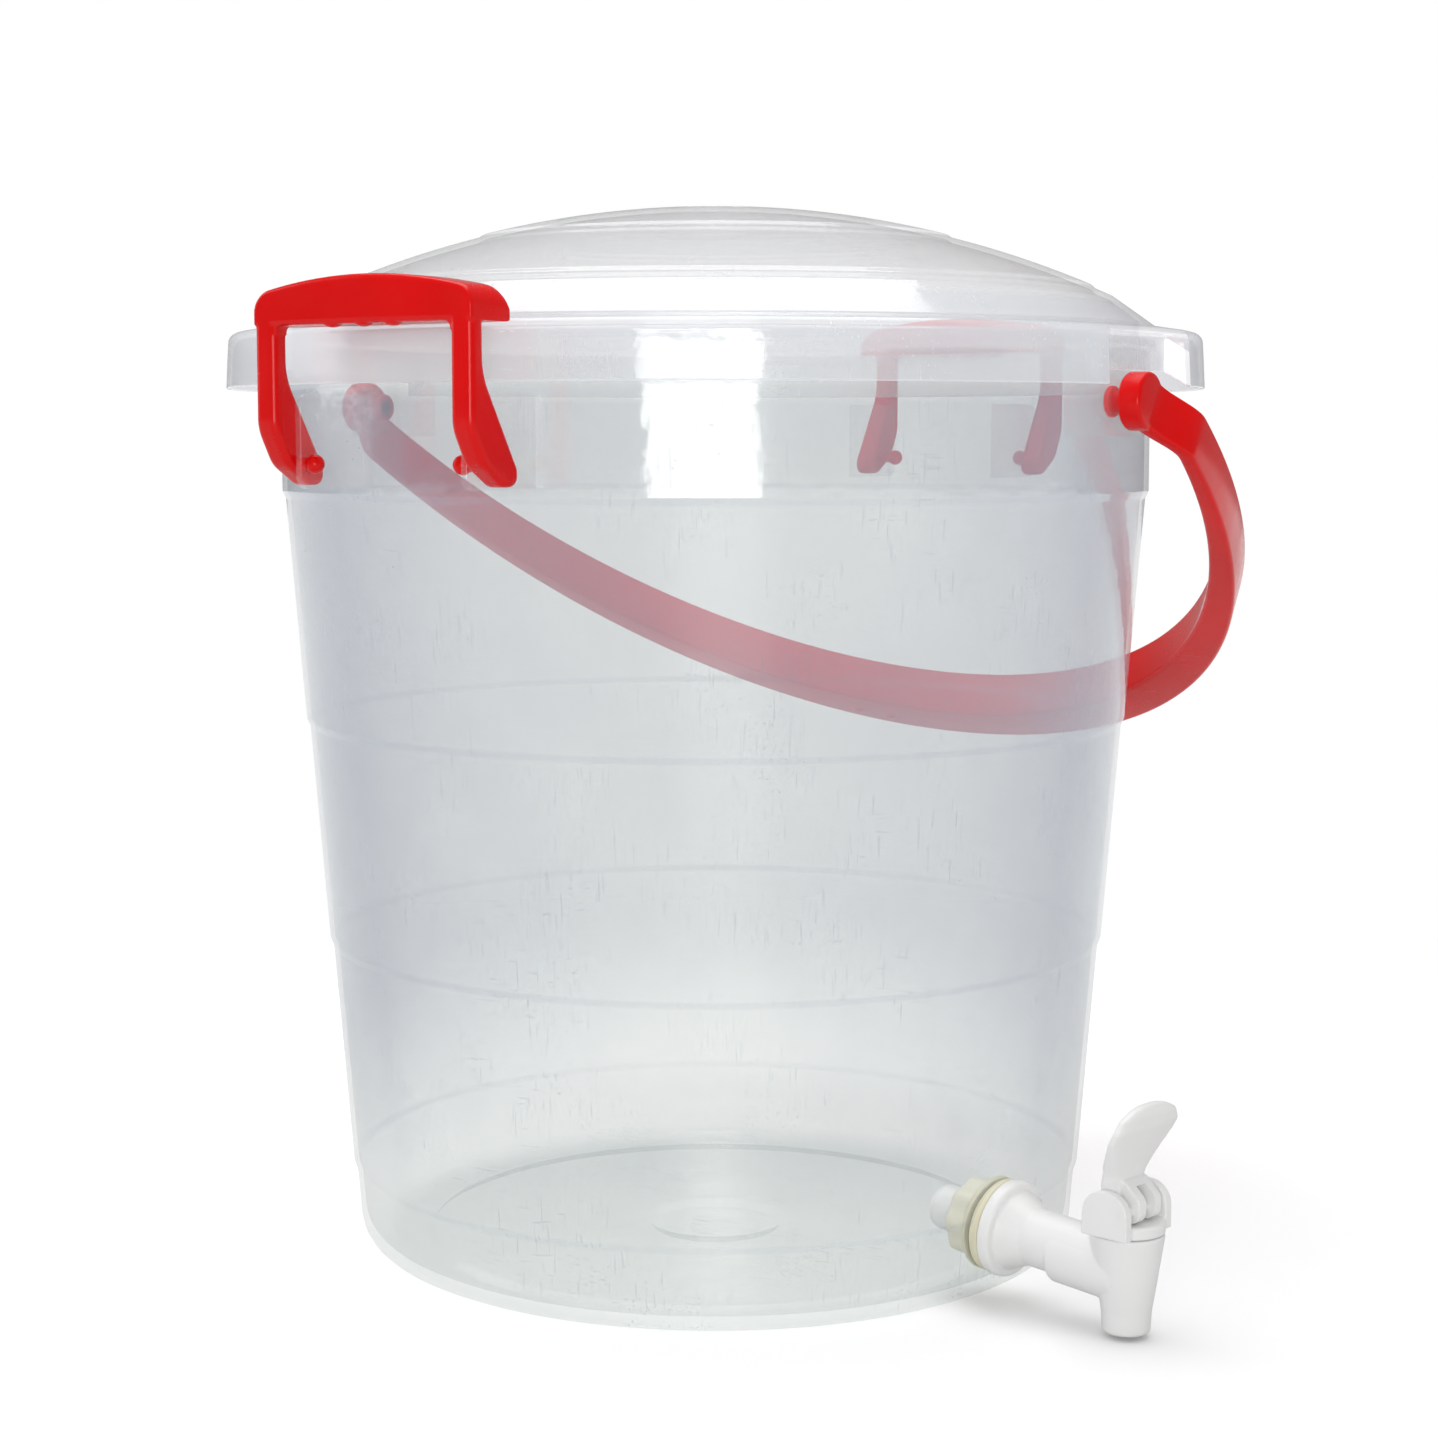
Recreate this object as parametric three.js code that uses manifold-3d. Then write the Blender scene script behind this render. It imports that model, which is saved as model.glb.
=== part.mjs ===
// A twenty litre water bucket: a clear body with a domed lid, two lid clips, a bail handle and a lever tap.
// Millimetres, +Z up. The origin is on the bucket's axis, in the plane that its foot stands on.
// The bail turns about a line along X. The front clip is on the -Y side and the back clip on the +Y side.
import * as THREE from 'three';
import { mergeVertices } from 'three/addons/utils/BufferGeometryUtils.js';
import Module from 'manifold-3d';

const wasm = await Module();
wasm.setup();

const gap = 0.3; // between pieces that touch on the real object
const runningGap = 0.45; // beside a pin, or beside a piece that moves
const overrun = 5; // how far a cutter reaches past what it cuts
const weld = 1e-4; // corners closer than this are one corner

const facets = { bucket: 48, round: 24, small: 16, ball: 10, arc: Math.PI / 8 };

const bucket = {
  height: 336.6, // foot to rim
  baseRadius: 134.3, // the wall's line, followed down to the foot's plane
  taperShare: 0.076, // outward lean of the wall for each unit of height
  cornerRadius: 12,
  wall: 1.8,
  footInnerRadius: 110,
  footRise: 3, // the floor's underside above the foot's plane
  floor: 2,
  padRadius: 24, // a level pad under the middle, where the moulding gate is
  padSlope: 2,
  ringStep: 1.2, // each moulded ring widens the wall by this
  ringBlend: 3,
  ringShares: [0.092, 0.345, 0.588, 0.836], // of the bucket's height, where each ring is
  rimBead: 2,
  rimBeadHeight: 3.5,
};

const lid = {
  skirtRadius: 180,
  skirtDepth: 17.4, // below the underside of the lid's shoulder
  skirtLean: 1.1,
  wall: 2,
  shoulderRadius: 6,
  shoulderWidth: 17, // from the skirt to the foot of the dome
  shoulderInset: 5, // its level underside reaches this far inside the foot of the dome
  shoulderRise: 2.4,
  coneWidth: 16, // the steep band round the dome
  coneRise: 11.4,
  crownRise: 33.6,
  crownStep: 0.8, // the fall at each moulded ring on the crown
  crownRingShares: [0.946, 0.592], // of the crown's edge radius, where each ring is
  plugDepth: 9, // the ring that fits inside the bucket's rim
  plugWall: 2,
  plugGap: 0.5,
  recessHalfWidth: 30, // the skirt steps in behind the bail's ends
  recessWall: 1.8,
};

const ear = {
  faceReach: 5.7, // its flat face stands this far off the collar
  faceHalfWidth: 13,
  rootHalfWidth: 30,
  below: 11.7, // below the bail's axis
  above: 12.3,
  wall: 1.8,
};

const bail = {
  axisBelowRim: 22.4,
  restAngle: THREE.MathUtils.degToRad(32), // it hangs this far below level, at the back
  innerHalfWidth: 181.4,
  length: 234, // from its axis to the inside of the grip
  endDepth: 5.2, // of the strap, outwards in the bail's own plane
  gripDepth: 20.6,
  endWidth: 17.5, // of the strap, square to the bail's plane
  gripWidth: 20,
  depthPower: 1.5,
  web: 3,
  flange: 2,
  jog: 10.2, // the strap's ends step in by this to meet the end plates
  jogStart: 3,
  jogEnd: 14,
  jogSteps: 5,
  spanSteps: 40,
  plateRadius: 10,
  plateDepth: 8.5,
  pinRadius: 3.6,
  headRadius: 5.4,
  headDepth: 2.2,
};

const clip = {
  pivotBelowRim: 43.2,
  pivotReach: 7, // the pivot stands this far off the lid's skirt
  legInner: 36,
  legWidth: 8.7,
  legDepth: 6.8,
  frontReach: 12.7, // the clip's front face in front of its pivot
  heelReach: 11, // the legs' lower ends reach this far behind the pivot
  heelBelow: 7,
  heelHeight: 6,
  heelRadius: 4,
  toeRadius: 10,
  kneeAbove: 25, // the legs are straight above this height over the pivot
  shinAbove: 12,
  kneeRadius: 18,
  barBelow: 1.4, // the bar's underside below the lid's shoulder
  barHeight: 10.2, // at its ends
  barArch: 5.2,
  barDepth: 19.5,
  barCorner: 8,
  barEdge: 3,
  barSteps: 8,
  lipHalfWidth: 28,
  lipReach: 10, // over the lid's rim
  lipThickness: 4,
  pinRadius: 2.2,
  ballRadius: 3.2,
  ballInset: 5.3, // the ball's centre inside the leg's inner face
};

const fin = {
  thickness: 2.5,
  past: 4, // beyond the clip's pivot
  below: 8,
  above: 22.6,
};

const tap = {
  turn: THREE.MathUtils.degToRad(-9.2), // round from +X, towards the front
  height: 27.5, // of the shank's axis, where it passes the wall's outer face
  shankRadius: 8,
  shankInside: 26, // past the wall's outer face, into the bucket
  boreRadius: 6,
  washerRadius: 16.5,
  washerThickness: 2.2,
  nutRadius: 14.2,
  nutThickness: 9.5,
  nutSides: 8,
  flangeRadius: 17,
  flangeThickness: 4.8,
  hubRadius: 13.5,
  hubLength: 8.4,
  barrelRadius: 10.2,
  bellyRadius: 11, // the thicker stretch beside the valve
  bellyLength: 27,
  bellyDrop: 1.6,
  reach: 53.5, // from the wall's outer face to the valve's axis
};

const valve = {
  bottom: 1.5, // the spout's end above the foot's plane
  spoutRadius: 8.2,
  spoutEdge: 2,
  waistHeight: 9,
  waistRadius: 8.6,
  chestHeight: 19,
  chestRadius: 10.2,
  top: 36,
  topRadius: 12.8,
  outletRadius: 5.8,
  seatHoleRadius: 4.6,
  seatThickness: 3.5,
  seatHeight: 16,
  seatRadius: 7.7,
  chamberFlare: 14, // the chamber is widest this far over the seat
  chamberRadius: 10.4,
};

const bonnet = {
  deck: 4.1, // thickness of its round deck
  plugDepth: 4.5,
  cheekGap: 20, // between its two cheeks
  cheek: 3.5,
  cheekBack: 9.4, // behind the valve's axis
  cheekFront: 8.6,
  cheekHeight: 11.6,
  cheekRadius: 8,
};

const lever = {
  pivotForward: 5, // of the valve's axis
  pivotAbove: 4.6, // over the bonnet's deck
  pinRadius: 1.6,
  crankArm: 4.5,
  crankRadius: 1.3,
  footWidth: 13,
  footBehind: 11, // behind the pivot
  footRadius: 4.1,
  footHeight: 10,
  footShoulder: 2,
  slotWidth: 5.2,
  slotHeight: 8,
  paddleSides: 16,
  paddleHeight: 36.5, // over the pivot
  paddleLean: 7.6, // of its top, forward of the valve's axis
  paddleWidth: 36.4,
  paddleThickness: 9,
  // each row is one section: its shares of the paddle's height, lean, width and thickness
  paddleShares: [
    [0.01, -0.28, 0.49, 1],
    [0.22, -0.34, 0.49, 0.94],
    [0.32, -0.21, 0.54, 0.87],
    [0.42, -0.03, 0.68, 0.78],
    [0.53, 0.24, 0.81, 0.67],
    [0.68, 0.62, 0.98, 0.56],
    [0.78, 0.88, 1, 0.51],
    [0.9, 0.99, 0.85, 0.47],
    [0.965, 1, 0.55, 0.4],
    [1, 1, 0.27, 0.29],
  ],
};

const stem = {
  radius: 2,
  headWidth: 6, // along the tap's barrel
  headThickness: 4.4,
  headHeight: 8.3,
  headLift: 0.6, // over the bonnet's deck
  headRound: 1,
  slotHeight: 3.8,
  slotWall: 1.8,
};

const cup = {
  radius: 7,
  lip: 1,
  lipDepth: 1,
  skirtHeight: 1.9,
  height: 6.3,
  neckRadius: 4.4,
  socketDepth: 3.7,
};

// Places that several pieces share, worked out from the sizes above.
const ringHeights = bucket.ringShares.map((share) => share * bucket.height);
const wallRadius = (z) => bucket.baseRadius + bucket.taperShare * Math.min(z, ringHeights.at(-1))
  + bucket.ringStep * ringHeights.filter((height) => height < z).length;
const collarRadius = wallRadius(bucket.height);
const floorTop = bucket.footRise + bucket.floor;
const shoulderUnder = bucket.height + gap;
const shoulderTop = shoulderUnder + lid.wall;
const skirtBottom = shoulderUnder - lid.skirtDepth;
const domeFoot = lid.skirtRadius - lid.shoulderWidth;
const crownEdge = domeFoot - lid.coneWidth;
const crownRings = lid.crownRingShares.map((share) => share * crownEdge);
const bailHeight = bucket.height - bail.axisBelowRim;
const earFace = collarRadius + ear.faceReach;
const recessInner = earFace + runningGap;
const recessOuter = recessInner + lid.recessWall;
const recessBottom = Math.max(skirtBottom, bailHeight + bail.plateRadius + runningGap);
const plateInner = recessOuter + runningGap;
const clipPivot = {
  // clear of the lid's skirt, and far enough out for the clip's heels to clear the wall
  reach: Math.max(lid.skirtRadius + clip.pivotReach, collarRadius + clip.heelReach + runningGap),
  height: bucket.height - clip.pivotBelowRim,
};
const clipFront = clipPivot.reach + clip.frontReach;
const tapWall = wallRadius(tap.height);
const tapTilt = THREE.MathUtils.radToDeg(Math.atan(bucket.taperShare)); // the shank is square to the leaning wall
const valveAxis = tapWall + tap.reach;
const deckTop = valve.top + gap + bonnet.deck;
const leverPivot = { reach: valveAxis + lever.pivotForward, height: deckTop + lever.pivotAbove };

/** Joins a closed geometry's corners and makes it a solid whose faces point outwards. */
function solid(geometry) {
  const bare = new THREE.BufferGeometry();
  bare.setAttribute('position', geometry.getAttribute('position'));
  bare.setIndex(geometry.getIndex());
  const merged = mergeVertices(bare, weld);
  const corners = merged.getIndex().array;
  const position = merged.getAttribute('position');
  const [a, b, c] = [new THREE.Vector3(), new THREE.Vector3(), new THREE.Vector3()];
  const triangles = [];
  let volume = 0;
  for (let i = 0; i < corners.length; i += 3) {
    const [p, q, r] = corners.slice(i, i + 3);
    if (p !== q && q !== r && r !== p) {
      triangles.push([p, q, r]);
      volume += a.fromBufferAttribute(position, p)
        .dot(b.fromBufferAttribute(position, q).cross(c.fromBufferAttribute(position, r)));
    }
  }
  const outward = volume > 0 ? triangles : triangles.map(([p, q, r]) => [p, r, q]);
  return new wasm.Manifold(new wasm.Mesh({
    numProp: 3,
    vertProperties: new Float32Array(position.array),
    triVerts: new Uint32Array(outward.flat()),
  }));
}

/** Makes the points of an outline from rows of x, y and, for a rounded corner, its radius. */
function outline(rows) {
  const centreless = new THREE.Vector2();
  return rows.flatMap(([x, y, radius = 0], i) => {
    const corner = new THREE.Vector2(x, y);
    if (!radius) return [corner];
    const [before, after] = [rows.at(i - 1), rows[(i + 1) % rows.length]]
      .map((row) => new THREE.Vector2(row[0], row[1]).sub(corner).normalize());
    const half = Math.acos(before.dot(after)) / 2;
    const centre = before.clone().add(after).setLength(radius / Math.sin(half)).add(corner);
    const reach = radius / Math.tan(half);
    const start = before.multiplyScalar(reach).add(corner).sub(centre);
    const end = after.multiplyScalar(reach).add(corner).sub(centre);
    const turn = Math.atan2(start.cross(end), start.dot(end));
    const steps = Math.ceil(Math.abs(turn) / facets.arc);
    return Array.from({ length: steps + 1 }, (_, k) => start.clone()
      .rotateAround(centreless, (turn * k) / steps).add(centre));
  });
}

/** Turns a profile of radius and height about the Z axis. */
const turned = (rows, sides) => solid(new THREE.LatheGeometry(outline(rows), sides).rotateX(Math.PI / 2));

/** Extrudes a plan outline of x and y from one height to another. */
const upright = (rows, from, to) => solid(new THREE.ExtrudeGeometry(
  new THREE.Shape(outline(rows)),
  { depth: to - from, bevelEnabled: false },
).translate(0, 0, from));

/** Extrudes a side outline of x and z from one y to another. */
const across = (rows, from, to) => upright(rows, -to, -from).rotate([90, 0, 0]);

/** Extrudes a front outline of y and z from one x to another. */
const along = (rows, from, to) => upright(rows, from, to).rotate([90, 0, 90]);

const rod = (radius, from, to, sides) => solid(new THREE.CylinderGeometry(radius, radius, to - from, sides)
  .rotateX(Math.PI / 2).translate(0, 0, (from + to) / 2));
const rodAlongX = (radius, from, to, sides) => rod(radius, from, to, sides).rotate([0, 90, 0]);
const rodAlongY = (radius, from, to, sides) => rod(radius, -to, -from, sides).rotate([90, 0, 0]);

/** A box between two opposite corners. */
function block(low, high) {
  const size = high.map((value, i) => value - low[i]);
  const middle = high.map((value, i) => (value + low[i]) / 2);
  return solid(new THREE.BoxGeometry(...size).translate(...middle));
}

/** Skins a row of sections that have the same number of points, and closes both ends. */
function loft(sections) {
  const count = sections[0].length;
  const positions = sections.flat().flatMap((point) => point.toArray());
  const indices = [];
  for (let s = 0; s + 1 < sections.length; s += 1) {
    for (let k = 0; k < count; k += 1) {
      const [p, q] = [s * count + k, s * count + ((k + 1) % count)];
      indices.push(p, q, q + count, p, q + count, p + count);
    }
  }
  const last = (sections.length - 1) * count;
  const flat = flattened(sections[0]);
  THREE.ShapeUtils.triangulateShape(flat, []).forEach(([p, q, r]) => {
    indices.push(p, r, q, last + p, last + q, last + r);
  });
  const geometry = new THREE.BufferGeometry();
  geometry.setAttribute('position', new THREE.Float32BufferAttribute(positions, 3));
  geometry.setIndex(indices);
  return solid(geometry);
}

/** Lays a flat section down in its own plane, as two-dimensional points that run counterclockwise. */
function flattened(section) {
  const [origin, next] = section;
  const normal = new THREE.Vector3();
  section.forEach((point, i) => normal.add(
    point.clone().sub(origin).cross(section[(i + 1) % section.length].clone().sub(origin)),
  ));
  const right = next.clone().sub(origin).normalize();
  const up = normal.normalize().cross(right);
  return section.map((point) => {
    const offset = point.clone().sub(origin);
    return new THREE.Vector2(offset.dot(right), offset.dot(up));
  });
}

const colours = {
  clear: { color: '#cfd2d6', roughness: 0.25, metalness: 0, transparent: true, opacity: 0.4 },
  red: { color: '#d90406', roughness: 0.25, metalness: 0 },
  white: { color: '#f4f4f2', roughness: 0.35, metalness: 0 },
  cream: { color: '#ece6cf', roughness: 0.6, metalness: 0 },
};

/** Gives a finished solid its name and its own material. */
function piece(name, shape, colour) {
  const { vertProperties, triVerts } = shape.getMesh();
  const geometry = new THREE.BufferGeometry();
  geometry.setAttribute('position', new THREE.BufferAttribute(vertProperties, 3));
  geometry.setIndex(new THREE.BufferAttribute(triVerts, 1));
  const mesh = new THREE.Mesh(geometry, new THREE.MeshStandardMaterial(colours[colour]));
  mesh.name = name;
  return mesh;
}

/** The bucket wall's rows from the floor up, set in from its outer face by a given amount. */
function wallRows(inset, level) {
  const rows = [[wallRadius(level) - inset, level, bucket.cornerRadius - inset]];
  ringHeights.forEach((height) => {
    const below = wallRadius(height) - inset;
    rows.push([below, height - bucket.ringBlend / 2], [below + bucket.ringStep, height + bucket.ringBlend / 2]);
  });
  return rows;
}

/** Everything inside the bucket wall's outer face, set in by a given amount. */
const wallCore = (inset, level) => turned(
  [[0, level], ...wallRows(inset, level), [collarRadius - inset, bucket.height], [0, bucket.height]],
  facets.bucket,
);

/** One of the two hollow ears that the bail turns in, open below. */
function bucketEar() {
  const spread = (ear.rootHalfWidth - ear.faceHalfWidth) / ear.faceReach;
  const root = collarRadius - ear.faceReach;
  const half = (x, inset) => ear.faceHalfWidth + (earFace - x) * spread - inset * Math.hypot(1, spread);
  const wedge = (face, inset) => [
    [root, -half(root, inset)], [face, -half(face, inset)], [face, half(face, inset)], [root, half(root, inset)],
  ];
  const [bottom, top] = [bailHeight - ear.below, bailHeight + ear.above];
  return upright(wedge(earFace, 0), bottom, top)
    .subtract(upright(wedge(earFace - ear.wall, ear.wall), bottom - overrun, top - ear.wall))
    .subtract(rod(collarRadius - bucket.wall / 2, bottom - overrun, top + overrun, facets.bucket))
    .subtract(rodAlongX(bail.pinRadius + runningGap, root, earFace + overrun, facets.round)
      .translate([0, 0, bailHeight]));
}

/** One of the fins that carry a clip's ball-ended pins. */
function clipFin(side) {
  const [near, far] = [clip.legInner - runningGap - fin.thickness, clip.legInner - runningGap];
  const tip = clipPivot.reach + fin.past;
  const [bottom, top] = [clipPivot.height - fin.below, clipPivot.height + fin.above];
  const plate = across([
    [0, bottom], [tip, bottom, fin.past], [tip, top, fin.past], [0, top],
  ], Math.min(side * near, side * far), Math.max(side * near, side * far));
  return plate
    .subtract(rod(collarRadius - bucket.wall / 2, bottom - overrun, top + overrun, facets.bucket))
    .subtract(rodAlongY(clip.pinRadius + runningGap, -clip.legInner, clip.legInner, facets.small)
      .translate([clipPivot.reach, 0, clipPivot.height]));
}

function bucketBody() {
  const inner = wallRows(bucket.wall, floorTop).reverse();
  const shell = turned([
    [0, 0],
    [bucket.padRadius, 0],
    [bucket.padRadius + bucket.padSlope, bucket.footRise],
    [bucket.footInnerRadius - bucket.padSlope, bucket.footRise],
    [bucket.footInnerRadius, 0],
    ...wallRows(0, 0),
    [collarRadius, bucket.height - bucket.rimBeadHeight],
    [collarRadius + bucket.rimBead, bucket.height - bucket.rimBeadHeight + bucket.rimBead / 2],
    [collarRadius + bucket.rimBead, bucket.height],
    [collarRadius - bucket.wall, bucket.height],
    ...inner,
    [0, floorTop],
  ], facets.bucket);
  let body = shell;
  [0, 180].forEach((turn) => {
    body = body.add(bucketEar().rotate([0, 0, turn]));
    [-1, 1].forEach((side) => {
      body = body.add(clipFin(side).rotate([0, 0, turn + 90]));
    });
  });
  const tapHole = seated(rodAlongX(tap.shankRadius + runningGap, -tap.shankInside, tap.shankInside, facets.round));
  return body.subtract(tapHole.rotate([0, 0, THREE.MathUtils.radToDeg(tap.turn)]));
}

/** Height of the crown's outer face at a radius, with a small fall outside each of its rings. */
function crownHeight(radius) {
  const top = shoulderTop + lid.shoulderRise + lid.coneRise + lid.crownRise;
  const rise = lid.crownRise - lid.crownStep * crownRings.length;
  const sphere = (crownEdge ** 2 + rise ** 2) / (2 * rise);
  const falls = crownRings.filter((ring) => ring < radius).length;
  return top - (sphere - Math.sqrt(sphere ** 2 - radius ** 2)) - lid.crownStep * falls;
}

/** The lid's outer rows from the crown's middle down to the skirt's edge. */
function lidOuterRows() {
  const [outerRing, innerRing] = crownRings;
  const radii = [
    0, innerRing / 3, (innerRing * 2) / 3, innerRing, innerRing + lid.crownStep, (innerRing * 2 + outerRing) / 3,
    (innerRing + outerRing * 2) / 3, outerRing, outerRing + lid.crownStep, crownEdge,
  ];
  const shoulderFoot = lid.skirtRadius - lid.skirtLean;
  return [
    ...radii.map((radius) => [radius, crownHeight(radius)]),
    [domeFoot, shoulderTop + lid.shoulderRise, lid.shoulderRadius],
    [shoulderFoot, shoulderTop, lid.shoulderRadius],
    [lid.skirtRadius, skirtBottom],
  ];
}

/** Height of the outer face of the steep band, or of the crown inside it, or of the shoulder outside it. */
function domeHeight(radius) {
  if (radius < crownEdge) return crownHeight(radius);
  const band = lid.shoulderRise + ((domeFoot - radius) * lid.coneRise) / lid.coneWidth;
  return shoulderTop + Math.max(band, 0);
}

/** The lid's inner rows, from the skirt's edge to under the crown's middle. */
function lidInnerRows() {
  const inset = domeFoot - lid.shoulderInset;
  const under = lid.wall * Math.hypot(1, lid.coneRise / lid.coneWidth);
  const crownRadii = lidOuterRows().map(([radius]) => radius).filter((radius) => radius < crownEdge).reverse();
  return [
    [lid.skirtRadius - lid.wall, skirtBottom],
    [lid.skirtRadius - lid.skirtLean - lid.wall, shoulderUnder, lid.shoulderRadius - lid.wall],
    [inset, shoulderUnder],
    [inset, domeHeight(inset) - under],
    [crownEdge, crownHeight(crownEdge) - under],
    ...crownRadii.map((radius) => [radius, crownHeight(radius) - lid.wall]),
  ];
}

/** The ring under the lid that fits inside the bucket's rim. */
function lidPlug() {
  const [rim, skirt] = [collarRadius - bucket.wall, lid.skirtRadius - lid.skirtLean];
  const outer = Math.min(rim - lid.plugGap, skirt - lid.shoulderRadius);
  const inner = outer - lid.plugWall;
  return turned([
    [inner, shoulderUnder - lid.plugDepth],
    [outer, shoulderUnder - lid.plugDepth],
    [outer, domeHeight(outer) - lid.wall / 2],
    [inner, domeHeight(inner) - lid.wall / 2],
    [inner, shoulderUnder - lid.plugDepth],
  ], facets.bucket);
}

function lidShell() {
  const outer = lidOuterRows();
  let shell = turned([...outer, ...lidInnerRows()], facets.bucket).add(lidPlug());
  const core = turned([...outer, [0, skirtBottom]], facets.bucket);
  const half = lid.recessHalfWidth;
  [0, 180].forEach((turn) => {
    const wall = block(
      [recessInner, -half - lid.recessWall, skirtBottom],
      [lid.skirtRadius, half + lid.recessWall, shoulderUnder + lid.wall / 2],
    ).rotate([0, 0, turn]).intersect(core);
    // the recess's back wall ends above the bail's end plate
    const below = skirtBottom - overrun;
    const hollow = block([recessOuter, -half, below], [lid.skirtRadius + overrun, half, shoulderUnder])
      .add(block([recessInner - overrun, -half, below], [lid.skirtRadius, half, recessBottom]));
    shell = shell.add(wall).subtract(hollow.rotate([0, 0, turn]));
  });
  return shell;
}

/** Where the strap runs: its inner face, its outward direction, its depth and its width at an angle. */
function strapStation(angle) {
  const { innerHalfWidth: a, length: b } = bail;
  const [x, y] = [a * Math.cos(angle), b * Math.sin(angle)];
  const share = THREE.MathUtils.smoothstep(y, bail.jogStart, bail.jogEnd);
  return {
    inner: new THREE.Vector3(x - Math.sign(x) * bail.jog * (1 - share), y, 0),
    outward: new THREE.Vector3(x / a ** 2, y / b ** 2, 0).normalize(),
    depth: THREE.MathUtils.lerp(bail.endDepth, bail.gripDepth, Math.sin(angle) ** bail.depthPower),
    width: THREE.MathUtils.lerp(bail.endWidth, bail.gripWidth, Math.sin(angle) ** 2),
  };
}

/** The strap's channel section: a web on its lower side and a flange along each edge. */
function strapSection({ inner, outward, depth, width }) {
  const [low, high] = [-width / 2, width / 2];
  const rows = [
    [0, low], [depth, low], [depth, high], [depth - bail.flange, high], [depth - bail.flange, low + bail.web],
    [bail.flange, low + bail.web], [bail.flange, high], [0, high],
  ];
  return rows.map(([out, up]) => inner.clone().addScaledVector(outward, out).setZ(up));
}

/** The bail, lying level in its own plane with its axis along X. */
function bailHandle() {
  const ends = Array.from({ length: bail.jogSteps + 1 }, (_, k) => Math.asin(
    (bail.jogEnd * k) / bail.jogSteps / bail.length,
  ));
  const first = ends.at(-1);
  const span = Array.from({ length: bail.spanSteps - 1 }, (_, k) => first
    + ((Math.PI - 2 * first) * (k + 1)) / bail.spanSteps);
  const angles = [...ends, ...span, ...ends.map((angle) => Math.PI - angle).reverse()];
  let handle = loft(angles.map((angle) => strapSection(strapStation(angle))));
  const head = earFace - ear.wall - runningGap;
  const end = rodAlongX(bail.plateRadius, plateInner, plateInner + bail.plateDepth, facets.round)
    .add(rodAlongX(bail.pinRadius, head - bail.headDepth, plateInner + bail.plateDepth / 2, facets.round))
    .add(rodAlongX(bail.headRadius, head - bail.headDepth, head, facets.round));
  handle = handle.add(end).add(end.rotate([0, 0, 180]));
  return handle;
}

/** Height of the lid's shoulder at a radius between the skirt and the dome. */
function shoulderHeight(radius) {
  const width = lid.shoulderWidth - lid.skirtLean;
  return shoulderTop + (lid.shoulderRise * (domeFoot + width - radius)) / width;
}

/** One lid clip as it stands closed, with its front face towards +X. */
function lidClip() {
  const { reach, height } = clipPivot;
  const [barBottom, barTop] = [shoulderTop - clip.barBelow, shoulderTop - clip.barBelow + clip.barHeight];
  const legOuter = clip.legInner + clip.legWidth;
  const legBack = clipFront - clip.legDepth;
  const heel = height - clip.heelBelow;
  const leg = across([
    [clipFront, barBottom + clip.barEdge],
    [legBack, barBottom + clip.barEdge],
    [legBack, height + clip.kneeAbove, clip.kneeRadius],
    [reach - clip.heelReach, heel + clip.heelHeight, clip.heelRadius],
    [reach - clip.heelReach, heel, clip.heelRadius],
    [reach, heel, clip.toeRadius],
    [clipFront, height + clip.shinAbove, clip.kneeRadius],
  ], clip.legInner, legOuter);
  const pin = rodAlongY(clip.pinRadius, clip.legInner - clip.ballInset, clip.legInner + overrun, facets.small)
    .add(solid(new THREE.SphereGeometry(clip.ballRadius, facets.small, facets.ball)
      .translate(0, clip.legInner - clip.ballInset, 0)))
    .translate([reach, 0, height]);
  const arch = Array.from({ length: clip.barSteps - 1 }, (_, k) => {
    const share = 1 - (2 * (k + 1)) / clip.barSteps;
    return [share * legOuter, barTop + clip.barArch * (1 - share ** 2)];
  });
  const bar = along([
    [-legOuter, barBottom], [legOuter, barBottom], [legOuter, barTop, clip.barCorner], ...arch,
    [-legOuter, barTop, clip.barCorner],
  ], clipFront - clip.barDepth, clipFront).intersect(across([
    [clipFront - clip.barDepth, barBottom],
    [clipFront, barBottom],
    [clipFront, barTop + clip.barArch, clip.barEdge],
    [clipFront - clip.barDepth, barTop + clip.barArch - clip.barEdge / 2, clip.barCorner],
  ], -legOuter, legOuter));
  const lipTip = lid.skirtRadius - clip.lipReach;
  const lipBottom = shoulderHeight(lipTip) + runningGap;
  const lip = block(
    [lipTip, -clip.lipHalfWidth, lipBottom],
    [clipFront - clip.barDepth / 2, clip.lipHalfWidth, lipBottom + clip.lipThickness],
  );
  const arm = leg.add(pin);
  return bar.add(lip).add(arm).add(arm.mirror([0, 1, 0]));
}

/** Sets a shape that was built about the X axis, from the wall's outer face on, on the tap's leaning axis. */
function seated(shape) {
  return shape.rotate([0, tapTilt, 0]).translate([tapWall, 0, tap.height]);
}

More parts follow.
